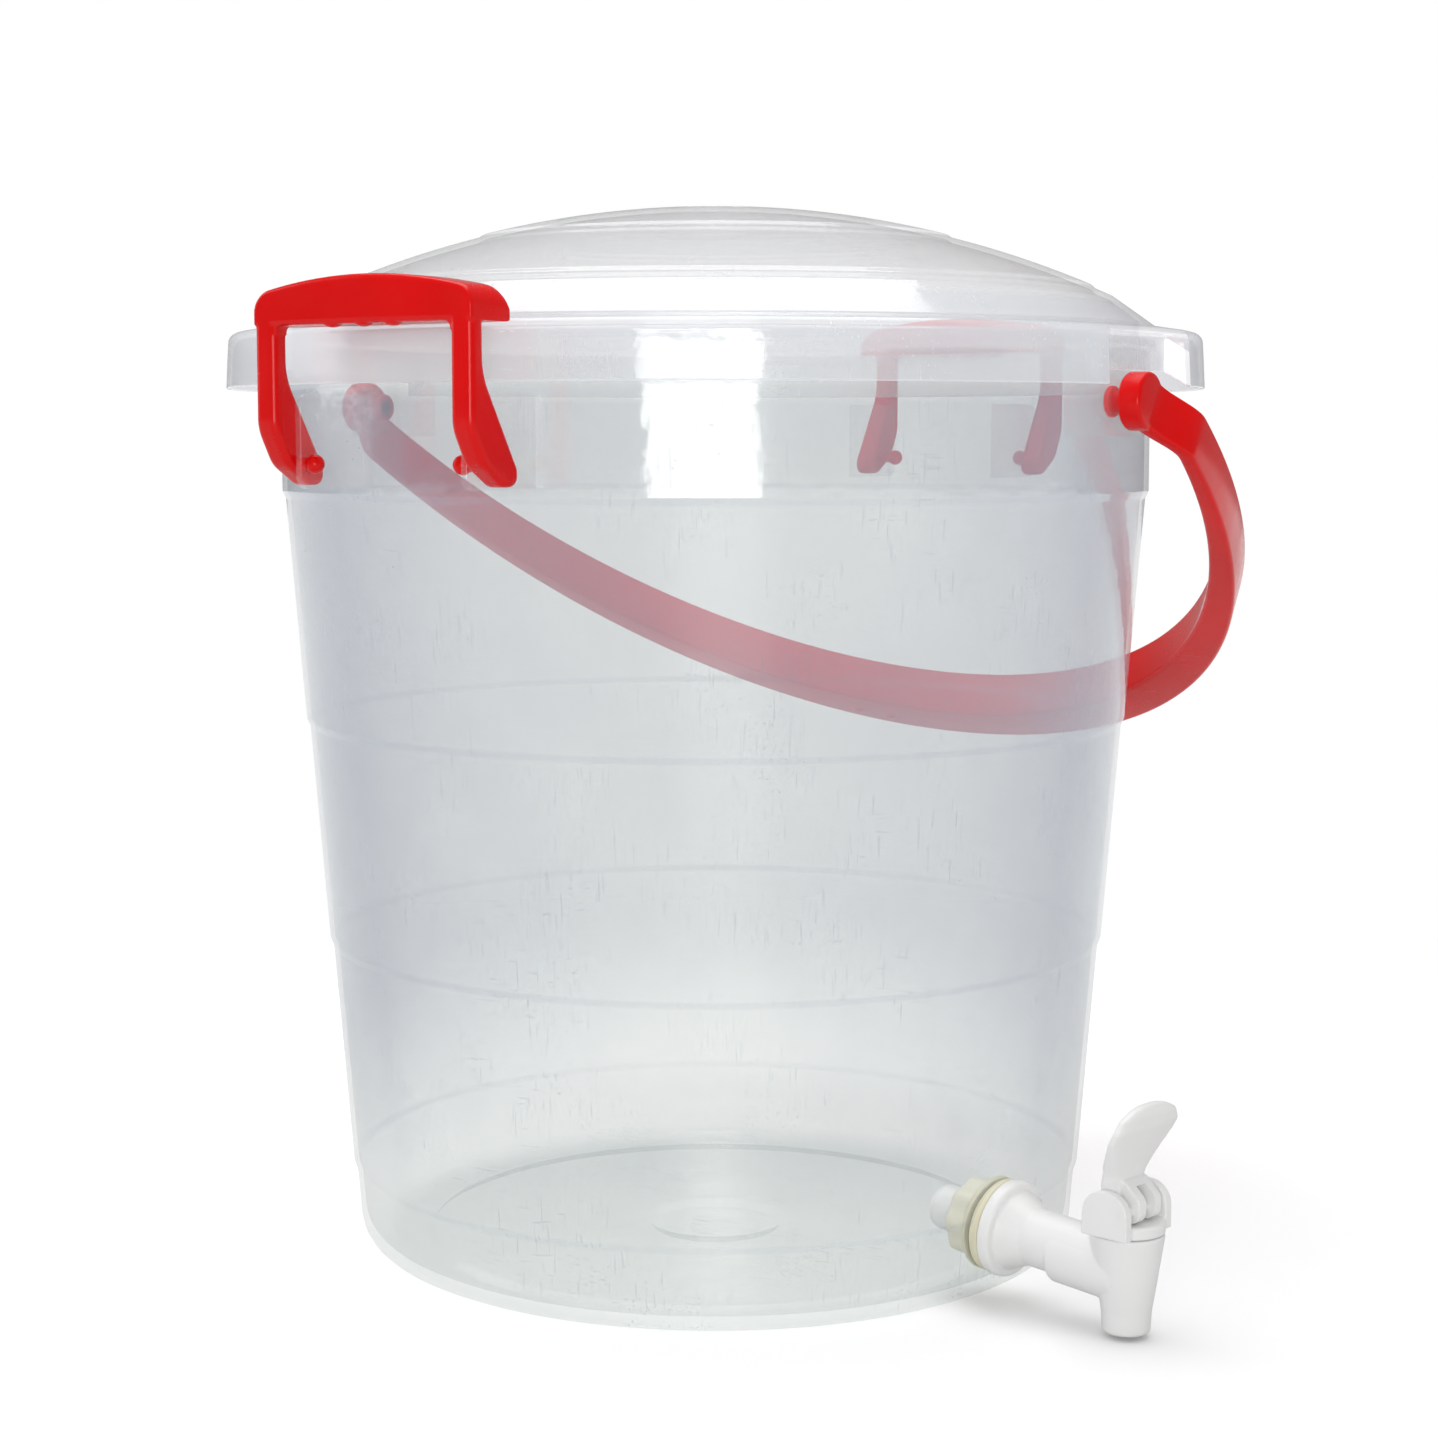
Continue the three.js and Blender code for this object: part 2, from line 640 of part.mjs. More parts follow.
/** The tap's fixed body, with its barrel along +X and its valve's axis upright. */
function tapBody() {
  const flangeBack = tap.washerThickness + gap;
  const flangeFront = flangeBack + tap.flangeThickness;
  const lying = [
    rodAlongX(tap.shankRadius, -tap.shankInside, flangeFront, facets.round),
    rodAlongX(tap.flangeRadius, flangeBack, flangeFront, facets.round),
    rodAlongX(tap.barrelRadius, flangeBack, tap.reach, facets.round),
    rodAlongX(tap.bellyRadius, tap.reach - tap.bellyLength, tap.reach, facets.round)
      .translate([0, 0, -tap.bellyDrop]),
    solid(new THREE.CylinderGeometry(tap.barrelRadius, tap.hubRadius, tap.hubLength, facets.round)
      .rotateZ(-Math.PI / 2).translate(flangeFront + tap.hubLength / 2, 0, 0)),
  ].reduce((sum, shape) => sum.add(shape));
  const tower = turned([
    [0, valve.bottom],
    [valve.spoutRadius, valve.bottom, valve.spoutEdge],
    [valve.waistRadius, valve.waistHeight],
    [valve.chestRadius, valve.chestHeight],
    [valve.topRadius, valve.top],
    [0, valve.top],
  ], facets.round);
  const chamber = turned([
    [0, valve.seatHeight],
    [valve.seatRadius, valve.seatHeight],
    [valve.chamberRadius, valve.seatHeight + valve.chamberFlare],
    [valve.chamberRadius, valve.top + overrun],
    [0, valve.top + overrun],
  ], facets.round);
  const outlet = rod(valve.outletRadius, -overrun, valve.seatHeight - valve.seatThickness, facets.small)
    .add(rod(valve.seatHoleRadius, 0, valve.seatHeight + valve.seatThickness, facets.small));
  const bonnetSeat = rod(valve.topRadius + gap, valve.top, valve.top + overrun, facets.round);
  return seated(lying)
    .add(tower.translate([valveAxis, 0, 0]))
    .subtract(chamber.add(outlet).add(bonnetSeat).translate([valveAxis, 0, 0]))
    .subtract(seated(rodAlongX(tap.boreRadius, -tap.shankInside - overrun, tap.reach, facets.small)));
}

/** A ring round the tap's shank, between two places measured outwards from the wall's outer face. */
const shankRing = (radius, from, to, sides) => seated(rodAlongX(radius, from, to, sides)
  .subtract(rodAlongX(tap.shankRadius + gap, from - overrun, to + overrun, facets.round)));

/** The bucket's inside as the tap sees it, set in from the wall's outer face by a given amount. */
const coreAtTap = (inset, level) => wallCore(inset, level)
  .rotate([0, 0, THREE.MathUtils.radToDeg(-tap.turn)]);

/** The washer outside the wall, moulded to lie against it. */
const outerWasher = () => shankRing(tap.washerRadius, -tap.washerThickness, tap.washerThickness, facets.round)
  .subtract(coreAtTap(-gap, -gap));

// How far the moulded rings set the wall in at the inner washer's lower edge.
const washerSetIn = tapWall - wallRadius(tap.height - tap.washerRadius) - bucket.taperShare * tap.washerRadius;
const innerWasherBack = -bucket.wall - gap - washerSetIn - tap.washerThickness;

/** The washer inside the wall, moulded to lie against it. */
const innerWasher = () => shankRing(tap.washerRadius, innerWasherBack, tap.washerThickness, facets.round)
  .intersect(coreAtTap(bucket.wall + gap, floorTop + gap));

const lockNut = () => shankRing(
  tap.nutRadius,
  innerWasherBack - gap - tap.nutThickness,
  innerWasherBack - gap,
  tap.nutSides,
);

/** The bonnet that closes the valve, with the two cheeks that the lever turns between. */
function tapBonnet() {
  const plug = valve.top - bonnet.plugDepth;
  const deckBottom = valve.top + gap;
  const deck = rod(valve.chamberRadius - gap, plug, deckTop, facets.round)
    .add(rod(valve.topRadius, deckBottom, deckTop, facets.round))
    .subtract(rod(stem.radius + runningGap, plug - overrun, deckTop + overrun, facets.small));
  const cheek = across([
    [-bonnet.cheekBack, deckTop - bonnet.deck],
    [bonnet.cheekFront, deckTop - bonnet.deck],
    [bonnet.cheekFront, deckTop + bonnet.cheekHeight, bonnet.cheekRadius],
    [-bonnet.cheekBack, deckTop + bonnet.cheekHeight, bonnet.cheekRadius],
  ], bonnet.cheekGap / 2, bonnet.cheekGap / 2 + bonnet.cheek);
  return deck.add(cheek).add(cheek.mirror([0, 1, 0]))
    .translate([valveAxis, 0, 0])
    .subtract(rodAlongY(lever.pinRadius + gap, -bonnet.cheekGap, bonnet.cheekGap, facets.small)
      .translate([leverPivot.reach, 0, leverPivot.height]));
}

const pivotPin = () => rodAlongY(
  lever.pinRadius,
  -bonnet.cheekGap / 2 - bonnet.cheek,
  bonnet.cheekGap / 2 + bonnet.cheek,
  facets.small,
).translate([leverPivot.reach, 0, leverPivot.height]);

/** The lever: a slotted foot between the cheeks, a cross pin that lifts the stem, and a wide paddle. */
function tapLever() {
  const { reach, height } = leverPivot;
  const foot = across([
    [reach - lever.crankArm, height - lever.footRadius, lever.footRadius / 2],
    [reach + lever.footRadius, height - lever.footRadius, lever.footRadius],
    [reach + lever.footRadius, height + lever.footRadius, lever.footRadius],
    [reach - lever.footRadius / 2, height + lever.footHeight],
    [reach - lever.footBehind, height + lever.footHeight],
    [reach - lever.footBehind, height + lever.footShoulder, lever.footRadius / 2],
  ], -lever.footWidth / 2, lever.footWidth / 2);
  const squared = (value) => Math.sign(value) * Math.sqrt(Math.abs(value));
  const paddle = loft(lever.paddleShares.map(([heightShare, leanShare, widthShare, thicknessShare]) => (
    Array.from({ length: lever.paddleSides }, (_, k) => {
      const angle = (2 * Math.PI * k) / lever.paddleSides;
      return new THREE.Vector3(
        valveAxis + leanShare * lever.paddleLean
          + (squared(Math.cos(angle)) * thicknessShare * lever.paddleThickness) / 2,
        (squared(Math.sin(angle)) * widthShare * lever.paddleWidth) / 2,
        height + heightShare * lever.paddleHeight,
      );
    })
  )));
  const slotHalf = lever.slotWidth / 2;
  const slot = block(
    [reach - lever.footBehind - overrun, -slotHalf, height - lever.footRadius - overrun],
    [reach + lever.footRadius + overrun, slotHalf, height + lever.slotHeight],
  );
  const crank = rodAlongY(lever.crankRadius, -slotHalf - gap, slotHalf + gap, facets.small)
    .translate([reach - lever.crankArm, 0, height]);
  return foot.add(paddle).subtract(slot).add(crank)
    .subtract(rodAlongY(lever.pinRadius + gap, -lever.footWidth, lever.footWidth, facets.small)
      .translate([reach, 0, height]));
}

/** The stem, whose hooked head the lever's cross pin lifts. */
function tapStem() {
  const bottom = valve.seatHeight + gap + cup.height - cup.socketDepth + gap;
  const [headBottom, back] = [deckTop + stem.headLift, valveAxis - stem.headWidth / 2];
  const front = back + stem.headWidth;
  const slotBottom = leverPivot.height - stem.slotHeight / 2;
  const head = across([
    [back, headBottom], [front, headBottom], [front, slotBottom], [back + stem.slotWall, slotBottom],
    [back + stem.slotWall, slotBottom + stem.slotHeight], [front, slotBottom + stem.slotHeight],
    [front, headBottom + stem.headHeight, stem.headRound], [back, headBottom + stem.headHeight, stem.headRound],
  ], -stem.headThickness / 2, stem.headThickness / 2);
  return head.add(rod(stem.radius, bottom, headBottom + gap, facets.small).translate([valveAxis, 0, 0]));
}

/** The soft cup that closes the seat, pushed onto the stem's end. */
function seatCup() {
  const bottom = valve.seatHeight + gap;
  const socket = stem.radius + gap;
  const top = bottom + cup.height;
  return turned([
    [0, bottom + cup.lipDepth],
    [cup.radius - 2 * cup.lip, bottom + cup.lipDepth],
    [cup.radius - cup.lip, bottom],
    [cup.radius, bottom],
    [cup.radius, bottom + cup.skirtHeight],
    [cup.neckRadius, top],
    [socket, top],
    [socket, top - cup.socketDepth],
    [0, top - cup.socketDepth],
  ], facets.round).translate([valveAxis, 0, 0]);
}

const object = new THREE.Group();
object.add(piece('bucket_body', bucketBody(), 'clear'));
object.add(piece('lid', lidShell(), 'clear'));

const handle = piece('bail_handle', bailHandle(), 'red');
handle.position.z = bailHeight;
handle.rotation.x = -bail.restAngle;
object.add(handle);

[['clip_front', -Math.PI / 2], ['clip_back', Math.PI / 2]].forEach(([name, turn]) => {
  const mesh = piece(name, lidClip(), 'red');
  mesh.rotation.z = turn;
  object.add(mesh);
});

const tapGroup = new THREE.Group();
tapGroup.rotation.z = tap.turn;
tapGroup.add(
  piece('tap_body', tapBody(), 'white'),
  piece('tap_outer_washer', outerWasher(), 'cream'),
  piece('tap_inner_washer', innerWasher(), 'cream'),
  piece('tap_lock_nut', lockNut(), 'cream'),
  piece('tap_bonnet', tapBonnet(), 'white'),
  piece('tap_pivot_pin', pivotPin(), 'white'),
  piece('tap_lever', tapLever(), 'white'),
  piece('tap_stem', tapStem(), 'white'),
  piece('tap_seat_cup', seatCup(), 'cream'),
);
object.add(tapGroup);

export default object;
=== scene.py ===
# %% [markdown]
# # A see-through water bucket with a tap
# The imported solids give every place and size. This lesson dresses them: each piece is worked out as a
# surface in numpy, given a finish made of nodes, and tied to the body that carries it, so that the lid,
# the clips, the bail and the tap still move as the solids do.

# %% Load the frame
import math

import bmesh
import bpy
import numpy as np
from mathutils import Matrix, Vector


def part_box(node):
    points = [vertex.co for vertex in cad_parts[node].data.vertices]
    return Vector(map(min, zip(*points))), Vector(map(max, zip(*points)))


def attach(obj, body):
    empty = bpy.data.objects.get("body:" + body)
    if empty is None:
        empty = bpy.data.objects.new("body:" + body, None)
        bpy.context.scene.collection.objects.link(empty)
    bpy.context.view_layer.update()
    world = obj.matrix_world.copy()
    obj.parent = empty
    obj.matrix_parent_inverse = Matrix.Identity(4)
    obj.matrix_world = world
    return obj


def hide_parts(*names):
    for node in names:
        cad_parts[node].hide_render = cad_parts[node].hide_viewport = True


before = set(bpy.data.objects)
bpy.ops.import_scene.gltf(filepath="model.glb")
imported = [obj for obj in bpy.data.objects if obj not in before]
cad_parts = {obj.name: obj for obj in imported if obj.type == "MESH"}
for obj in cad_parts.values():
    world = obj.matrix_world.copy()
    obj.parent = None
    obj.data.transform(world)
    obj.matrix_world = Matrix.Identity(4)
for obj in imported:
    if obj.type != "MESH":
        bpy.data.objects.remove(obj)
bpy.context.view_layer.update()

print("nodes:", sorted(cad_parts))

# %% [markdown]
# ## The sizes
# Everything below is written in millimetres, as a maker would, and turned into Blender's metres in one
# place, when a mesh is made. The values are those of the solids, so that each surface lies where its
# solid is.

# %% The sizes that pieces share
MM = 0.001
GAP = 0.3  # between pieces that touch
RUNNING = 0.45  # beside a piece that moves
SIDES = 240  # of the shell and of the lid

HEIGHT = 336.6
BASE_RADIUS = 134.3
TAPER = 0.076
WALL = 1.8
RING_STEP = 1.2
RINGS = np.array([0.092, 0.345, 0.588, 0.836]) * HEIGHT


def wall_radius(z):
    """The wall's outer radius: a straight taper up to the last ring, and a step outwards at each ring."""
    z = np.asarray(z, dtype=float)
    steps = (z[..., None] > RINGS).sum(axis=-1)
    return BASE_RADIUS + TAPER * np.minimum(z, RINGS[-1]) + RING_STEP * steps


COLLAR = float(wall_radius(HEIGHT))
FLOOR_TOP = 5.0
AXIS_HEIGHT = HEIGHT - 22.4  # of the bail
EAR_DEPTH = 5.7
EAR_FACE = COLLAR + EAR_DEPTH
RECESS_INNER = EAR_FACE + RUNNING
RECESS_OUTER = RECESS_INNER + WALL
END_PLATE_RADIUS = 10  # of the bail's round ends
PLATE_INNER = RECESS_OUTER + RUNNING
LID_WALL = 2.0
SHOULDER_UNDER = HEIGHT + GAP
SHOULDER_TOP = SHOULDER_UNDER + LID_WALL
SHOULDER_RISE = 2.4  # from the shoulder's rim to the dome's foot
SKIRT_RADIUS = 180.0
SKIRT_BOTTOM = SHOULDER_UNDER - 17.4
RECESS_BOTTOM = AXIS_HEIGHT + END_PLATE_RADIUS + RUNNING

# %% Sizes of the clips and the tap
CLIP_PIVOT = (SKIRT_RADIUS + 7.0, HEIGHT - 43.2)  # distance from the bucket's axis, and height
CLIP_FRONT = CLIP_PIVOT[0] + 12.69
CLIP_OPENING, CLIP_HALF = 36, 44.7  # from the clip's middle to a leg's inner and outer face
CLIP_BAR = SHOULDER_TOP - 1.4  # the underside of the clip's bar
TAP_TURN = math.radians(-9.2)
TAP_HEIGHT = 27.5
TAP_REACH = 53.5  # from the wall to the valve's axis
TAP_WALL = float(wall_radius(TAP_HEIGHT))
VALVE_AXIS = TAP_WALL + TAP_REACH
SHANK_RADIUS = 8
WASHER = 2.2  # the thickness of each soft washer
print("collar", round(COLLAR, 2), "clip front", round(CLIP_FRONT, 2), "valve axis", round(VALVE_AXIS, 2))

# %% [markdown]
# ## The camera
# The photograph was taken from nearly the height of the lid's rim, looking a little down, and from the
# front right. The camera's place, tilt and lens were fitted to the ellipses of the lid and of the mould
# rings.

# %% Camera at the photograph's angle
camera_data = bpy.data.cameras.new("photo_camera")
camera_data.sensor_width = 36
camera_data.lens = 67.38
LOOKS_DOWN, FROM_THE_RIGHT = 5.94, 33.8
camera = bpy.data.objects.new("photo_camera", camera_data)
camera.location = (0.5649, -0.8416, 0.3015)
camera.rotation_euler = (math.radians(90 - LOOKS_DOWN), 0, math.radians(FROM_THE_RIGHT))
bpy.context.scene.collection.objects.link(camera)
bpy.context.scene.camera = camera
bpy.context.scene.view_settings.view_transform = "Standard"
SKINS_IN_A_ROW = 40  # a line of sight along the lid's rim crosses more than twenty, and would end black
bpy.context.scene.cycles.transparent_max_bounces = SKINS_IN_A_ROW

# %% [markdown]
# ## Outlines, grids and meshes
# A moulded piece is mostly a profile that is turned about an axis, or a section that runs along a path.
# Both are a grid of points: one direction goes round the section, the other along the path. Written that
# way, a whole surface is one numpy array, and its faces are worked out from the grid's shape.


# %% Outlines with rounded corners
def rounded(rows, steps=5):
    """Closed outline as points: a row's third number is a radius, and its corner becomes an arc that
    touches both sides at radius / tan(half the corner's angle) from the corner."""
    points = []
    for i, row in enumerate(rows):
        corner = np.array(row[:2], dtype=float)
        radius = row[2] if len(row) > 2 else 0
        if not radius:
            points.append(corner[None])
            continue
        before = np.array(rows[i - 1][:2], dtype=float) - corner
        after = np.array(rows[(i + 1) % len(rows)][:2], dtype=float) - corner
        before /= np.linalg.norm(before)
        after /= np.linalg.norm(after)
        half = math.acos(np.clip(before @ after, -1, 1)) / 2
        if half > math.pi / 2 - 1e-4:
            points.append(np.repeat(corner[None], steps + 1, axis=0))
            continue
        bisector = (before + after) / np.linalg.norm(before + after)
        centre = corner + bisector * radius / math.sin(half)
        start = corner + before * radius / math.tan(half) - centre
        end = corner + after * radius / math.tan(half) - centre
        turn = math.atan2(start[0] * end[1] - start[1] * end[0], start @ end)
        angles = turn * np.linspace(0, 1, steps + 1)
        points.append(centre + np.stack([
            start[0] * np.cos(angles) - start[1] * np.sin(angles),
            start[0] * np.sin(angles) + start[1] * np.cos(angles),
        ], axis=1))
    return np.concatenate(points)


# %% Easing, and more points along long sides
def eased(value):
    """A share that starts and ends level: three times its square less twice its cube, held from 0 to 1."""
    share = np.clip(value, 0, 1)
    return share ** 2 * (3 - 2 * share)


def filled(points, longest):
    """The same outline with points added, evenly, along each side longer than a given length."""
    ahead = np.roll(points, -1, axis=0)
    counts = np.maximum(1, np.ceil(np.linalg.norm(ahead - points, axis=1) / longest)).astype(int)
    return np.concatenate([
        a + (b - a) * (np.arange(n) / n)[:, None] for a, b, n in zip(points, ahead, counts)
    ])


# %% Grids of points
def skin(grid, round_first=True, round_second=True):
    """Faces over a grid of points (rows, columns, 3): each face joins a point, the next in its row and
    the same two in the next row. Either direction can close on itself."""
    rows, columns = grid.shape[:2]
    i = np.arange(rows if round_first else rows - 1)[:, None]
    j = np.arange(columns if round_second else columns - 1)[None]
    k, m = (i + 1) % rows, (j + 1) % columns
    quads = np.stack([i * columns + j, i * columns + m, k * columns + m, k * columns + j], axis=-1)
    return grid.reshape(-1, 3), quads.reshape(-1, 4).tolist()


def turned(outline, sides=96):
    """A closed outline of radius and height, turned about Z: (r, z) goes to (r cos a, r sin a, z)."""
    angles = np.linspace(0, 2 * np.pi, sides, endpoint=False)
    r, z = outline[:, 0, None], outline[:, 1, None]
    return skin(np.stack(np.broadcast_arrays(r * np.cos(angles), r * np.sin(angles), z), axis=-1))


def run(sections):
    """Sections (stations, points, 3) joined in order, with a flat face over each end."""
    vertices, faces = skin(sections, round_first=False)
    count = sections.shape[1]
    last = (len(sections) - 1) * count
    return vertices, faces + [list(range(count)), list(range(last, last + count))]


# %% Plates, rods and balls
def plate(outline, low, high, axes=(0, 1, 2)):
    """A flat outline given thickness: its two coordinates go to the first two named axes, and the
    thickness runs along the third."""
    sections = np.empty((2, len(outline), 3))
    sections[:, :, axes[0]] = outline[:, 0]
    sections[:, :, axes[1]] = outline[:, 1]
    sections[:, :, axes[2]] = np.array([low, high])[:, None]
    return run(sections)


def pillowed(outline, low, high, radius, axes=(0, 1, 2)):
    """A plate whose rims are quarter circles: near each face the outline is set in along its own normals by
    radius * (1 - sin t), at a depth of radius * (1 - cos t)."""
    along = np.roll(outline, -1, axis=0) - np.roll(outline, 1, axis=0)
    along /= np.linalg.norm(along, axis=1, keepdims=True)
    ahead = np.roll(outline, -1, axis=0)
    turning = np.sign((outline[:, 0] * ahead[:, 1] - outline[:, 1] * ahead[:, 0]).sum())
    inwards = np.stack([-along[:, 1], along[:, 0]], axis=1) * turning
    t = np.linspace(0, np.pi / 2, 5)
    inset = np.concatenate([radius * (1 - np.sin(t)), (radius * (1 - np.sin(t)))[::-1]])
    level = np.concatenate([low + radius * (1 - np.cos(t)), (high - radius * (1 - np.cos(t)))[::-1]])
    sections = np.empty((len(inset), len(outline), 3))
    sections[:, :, [axes[0], axes[1]]] = outline[None] + inset[:, None, None] * inwards[None]
    sections[:, :, axes[2]] = level[:, None]
    return run(sections)


def rod(radius, low, high, axis=2, edge=0.4, sides=48):
    """A round bar with rounded rims, along one of the three axes through the origin."""
    edge = min(edge, radius / 2, (high - low) / 3)
    vertices, faces = turned(rounded([
        [0, low], [radius, low, edge], [radius, high, edge], [0, high],
    ]), sides)
    return np.roll(vertices, axis - 2, axis=1), faces


def ball(radius, centre, squash=(1, 1, 1), sides=32):
    """A sphere or, with a squash, an ellipsoid: longitude and latitude are its grid."""
    turn = np.linspace(0, 2 * np.pi, sides, endpoint=False)
    lift = np.linspace(-np.pi / 2, np.pi / 2, sides // 2 + 1)[:, None]
    grid = np.stack(np.broadcast_arrays(
        np.cos(lift) * np.cos(turn), np.cos(lift) * np.sin(turn), np.sin(lift),
    ), axis=-1)
    vertices, faces = skin(grid, round_first=False)
    return vertices * radius * np.array(squash) + np.array(centre), faces


# %% Moving and turning a shape
def moved(shape, x=0.0, y=0.0, z=0.0):
    """The same shape shifted: x, y and z are added to every point."""
    return shape[0] + np.array([x, y, z]), shape[1]


def tilted(shape, angle):
    """Turned about the Y axis: its +X end goes down by an angle."""
    c, s = math.cos(angle), math.sin(angle)
    return shape[0] @ np.array([[c, 0, -s], [0, 1, 0], [s, 0, c]]), shape[1]


def swung(shape, angle):
    """Turned about the Z axis, counterclockwise seen from above."""
    c, s = math.cos(angle), math.sin(angle)
    return shape[0] @ np.array([[c, s, 0], [-s, c, 0], [0, 0, 1]]), shape[1]


def mirrored(shape):
    """The same shape on the other side of the XZ plane."""
    return shape[0] * np.array([1, -1, 1]), shape[1]


# %% Meshes and pieces
def mesh_of(name, shapes):
    """One mesh from several closed shapes. Doubled corners are merged first, then each face is turned
    outwards."""
    vertices, faces, start = [], [], 0
    for points, polygons in shapes:
        vertices.append(points)
        faces += [[index + start for index in polygon] for polygon in polygons]
        start += len(points)
    mesh = bpy.data.meshes.new(name)
    mesh.from_pydata(np.concatenate(vertices) * MM, [], faces)
    work = bmesh.new()
    work.from_mesh(mesh)
    bmesh.ops.remove_doubles(work, verts=work.verts, dist=1e-3 * MM)
    bmesh.ops.recalc_face_normals(work, faces=work.faces)
    work.to_mesh(mesh)
    work.free()
    return mesh


def evaluated(piece):
    """Puts the result of a piece's modifiers into its mesh, and takes the modifiers away."""
    bpy.context.view_layer.update()
    result = bpy.data.meshes.new_from_object(piece.evaluated_get(bpy.context.evaluated_depsgraph_get()))
    piece.modifiers.clear()
    piece.data = result


def piece_of(name, shapes):
    """A new object at the origin whose mesh holds the given closed shapes."""
    piece = bpy.data.objects.new(name, mesh_of(name, shapes))
    bpy.context.scene.collection.objects.link(piece)
    return piece


# %% Cutting, melting and bevelling
def cut(piece, shapes):
    """Takes closed shapes out of a piece with an exact Boolean."""
    cutter = piece_of("cutter", shapes)
    modifier = piece.modifiers.new("cut", "BOOLEAN")
    modifier.operation = "DIFFERENCE"
    modifier.solver = "EXACT"
    modifier.object = cutter
    evaluated(piece)
    bpy.data.objects.remove(cutter)


def softened(piece, voxel, passes):
    """Melts overlapping shapes into one skin of small squares, and smooths it, so that inner and outer
    corners get the small fillets of a moulding."""
    remesh = piece.modifiers.new("melt", "REMESH")
    remesh.mode = "VOXEL"
    remesh.voxel_size = voxel * MM
    smooth = piece.modifiers.new("smooth", "SMOOTH")
    smooth.factor = 0.5
    smooth.iterations = passes
    evaluated(piece)


def bevelled(piece, width, segments=3, angle=40):
    """Rounds each edge whose two faces turn by more than an angle, over a given width."""
    bevel = piece.modifiers.new("edges", "BEVEL")
    bevel.width = width * MM
    bevel.segments = segments
    bevel.limit_method = "ANGLE"
    bevel.angle_limit = math.radians(angle)
    evaluated(piece)


# %% Dressing a finished piece
def dressed(piece, node, body, finish, smooth=40):
    """Ties a finished piece to the node that it stands for, its body and its finish."""
    mesh = piece.data
    mesh.polygons.foreach_set("use_smooth", np.ones(len(mesh.polygons), dtype=bool))
    mesh.set_sharp_from_angle(angle=math.radians(smooth))
    mesh.materials.clear()
    mesh.materials.append(finish)
    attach(piece, body)
    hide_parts(node)
    corners = np.empty(len(mesh.vertices) * 3)
    mesh.vertices.foreach_get("co", corners)
    corners = corners.reshape(-1, 3) / MM
    triangles = sum(len(polygon.vertices) - 2 for polygon in mesh.polygons)
    print(f"{piece.name}: {triangles} triangles, {corners.min(0).round(1)} to {corners.max(0).round(1)} mm")
    low, high = [np.array(corner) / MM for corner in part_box(node)]
    proud = max((low - corners.min(0)).max(), (corners.max(0) - high).max())
    if proud > 0.05:
        print(f"  stands {proud:.2f} mm proud of its solid")
    return piece


# %% [markdown]
# ## Finishes
# Four plastics and a soft seal make up the whole object. Moulded plastic is never quite even: its colour
# drifts a little where the melt cooled, its face carries a very fine waviness that breaks up reflections,
# and handling leaves small scratches and a duller bloom. Those masks are worked out once in a node group,
# and each finish uses them in its own measure.


# %% Helpers that place nodes
def new_group(name, inputs, outputs):
    """A node group with named sockets, and its input and output nodes."""
    group = bpy.data.node_groups.new(name, "ShaderNodeTree")
    for label, kind, value in inputs:
        socket = group.interface.new_socket(label, in_out="INPUT", socket_type=kind)
        if value is not None:
            socket.default_value = value
    for label, kind in outputs:
        group.interface.new_socket(label, in_out="OUTPUT", socket_type=kind)
    return group, group.nodes.new("NodeGroupInput"), group.nodes.new("NodeGroupOutput")


def node_in(tree, kind, **settings):
    """A new node with its settings."""
    made = tree.nodes.new(kind)
    for key, value in settings.items():
        setattr(made, key, value)
    return made


def maths(tree, operation, a, b=None):
    """A Math node whose inputs are sockets or numbers."""
    made = node_in(tree, "ShaderNodeMath", operation=operation)
    for index, value in enumerate((a, b)):
        if value is None:
            continue
        if isinstance(value, bpy.types.NodeSocket):
            tree.links.new(value, made.inputs[index])
        else:
            made.inputs[index].default_value = value
    return made.outputs[0]


def remapped(tree, value, low, high, to_low=0.0, to_high=1.0):
    """One result up to the low value and another from the high value on, with a smooth step between."""
    made = node_in(tree, "ShaderNodeMapRange", interpolation_type="SMOOTHSTEP")
    tree.links.new(value, made.inputs["Value"])
    made.inputs["From Min"].default_value = low
    made.inputs["From Max"].default_value = high
    made.inputs["To Min"].default_value = to_low
    made.inputs["To Max"].default_value = to_high
    return made.outputs["Result"]


# %% Helpers for patterns
def noise(tree, place, scale, detail=2.0, roughness=0.5):
    """The grey value of a cloudy pattern at a place."""
    made = node_in(tree, "ShaderNodeTexNoise")
    made.inputs["Scale"].default_value = scale
    made.inputs["Detail"].default_value = detail
    made.inputs["Roughness"].default_value = roughness
    tree.links.new(place, made.inputs["Vector"])
    return made.outputs["Fac"]


def stretched(tree, place, scale, turn=(0, 0, 0)):
    """A place turned and scaled by axis, so that a pattern read there is drawn out into lines."""
    made = node_in(tree, "ShaderNodeMapping")
    made.inputs["Scale"].default_value = scale
    made.inputs["Rotation"].default_value = turn
    tree.links.new(place, made.inputs["Vector"])
    return made.outputs["Vector"]


# %% A node group for moulded unevenness
moulding, group_in, group_out = new_group(
    "moulded_unevenness",
    [("Place", "NodeSocketVector", None)],
    [("Drift", "NodeSocketFloat"), ("Waviness", "NodeSocketFloat"), ("Scratches", "NodeSocketFloat"),
     ("Bloom", "NodeSocketFloat")],
)
place = group_in.outputs["Place"]
drift = noise(moulding, place, scale=14, detail=3, roughness=0.55)
moulding.links.new(drift, group_out.inputs["Drift"])
waviness = noise(moulding, place, scale=90, detail=2, roughness=0.5)
moulding.links.new(waviness, group_out.inputs["Waviness"])
one_lie = stretched(moulding, place, scale=(900, 900, 35), turn=(0.3, 0.5, 0.2))
one_way = noise(moulding, one_lie, scale=1, detail=1, roughness=0.4)
other_lie = stretched(moulding, place, scale=(60, 1100, 900), turn=(0.9, 0.2, 0.7))
other_way = noise(moulding, other_lie, scale=1, detail=1, roughness=0.4)
one_lines = remapped(moulding, one_way, 0.66, 0.74)
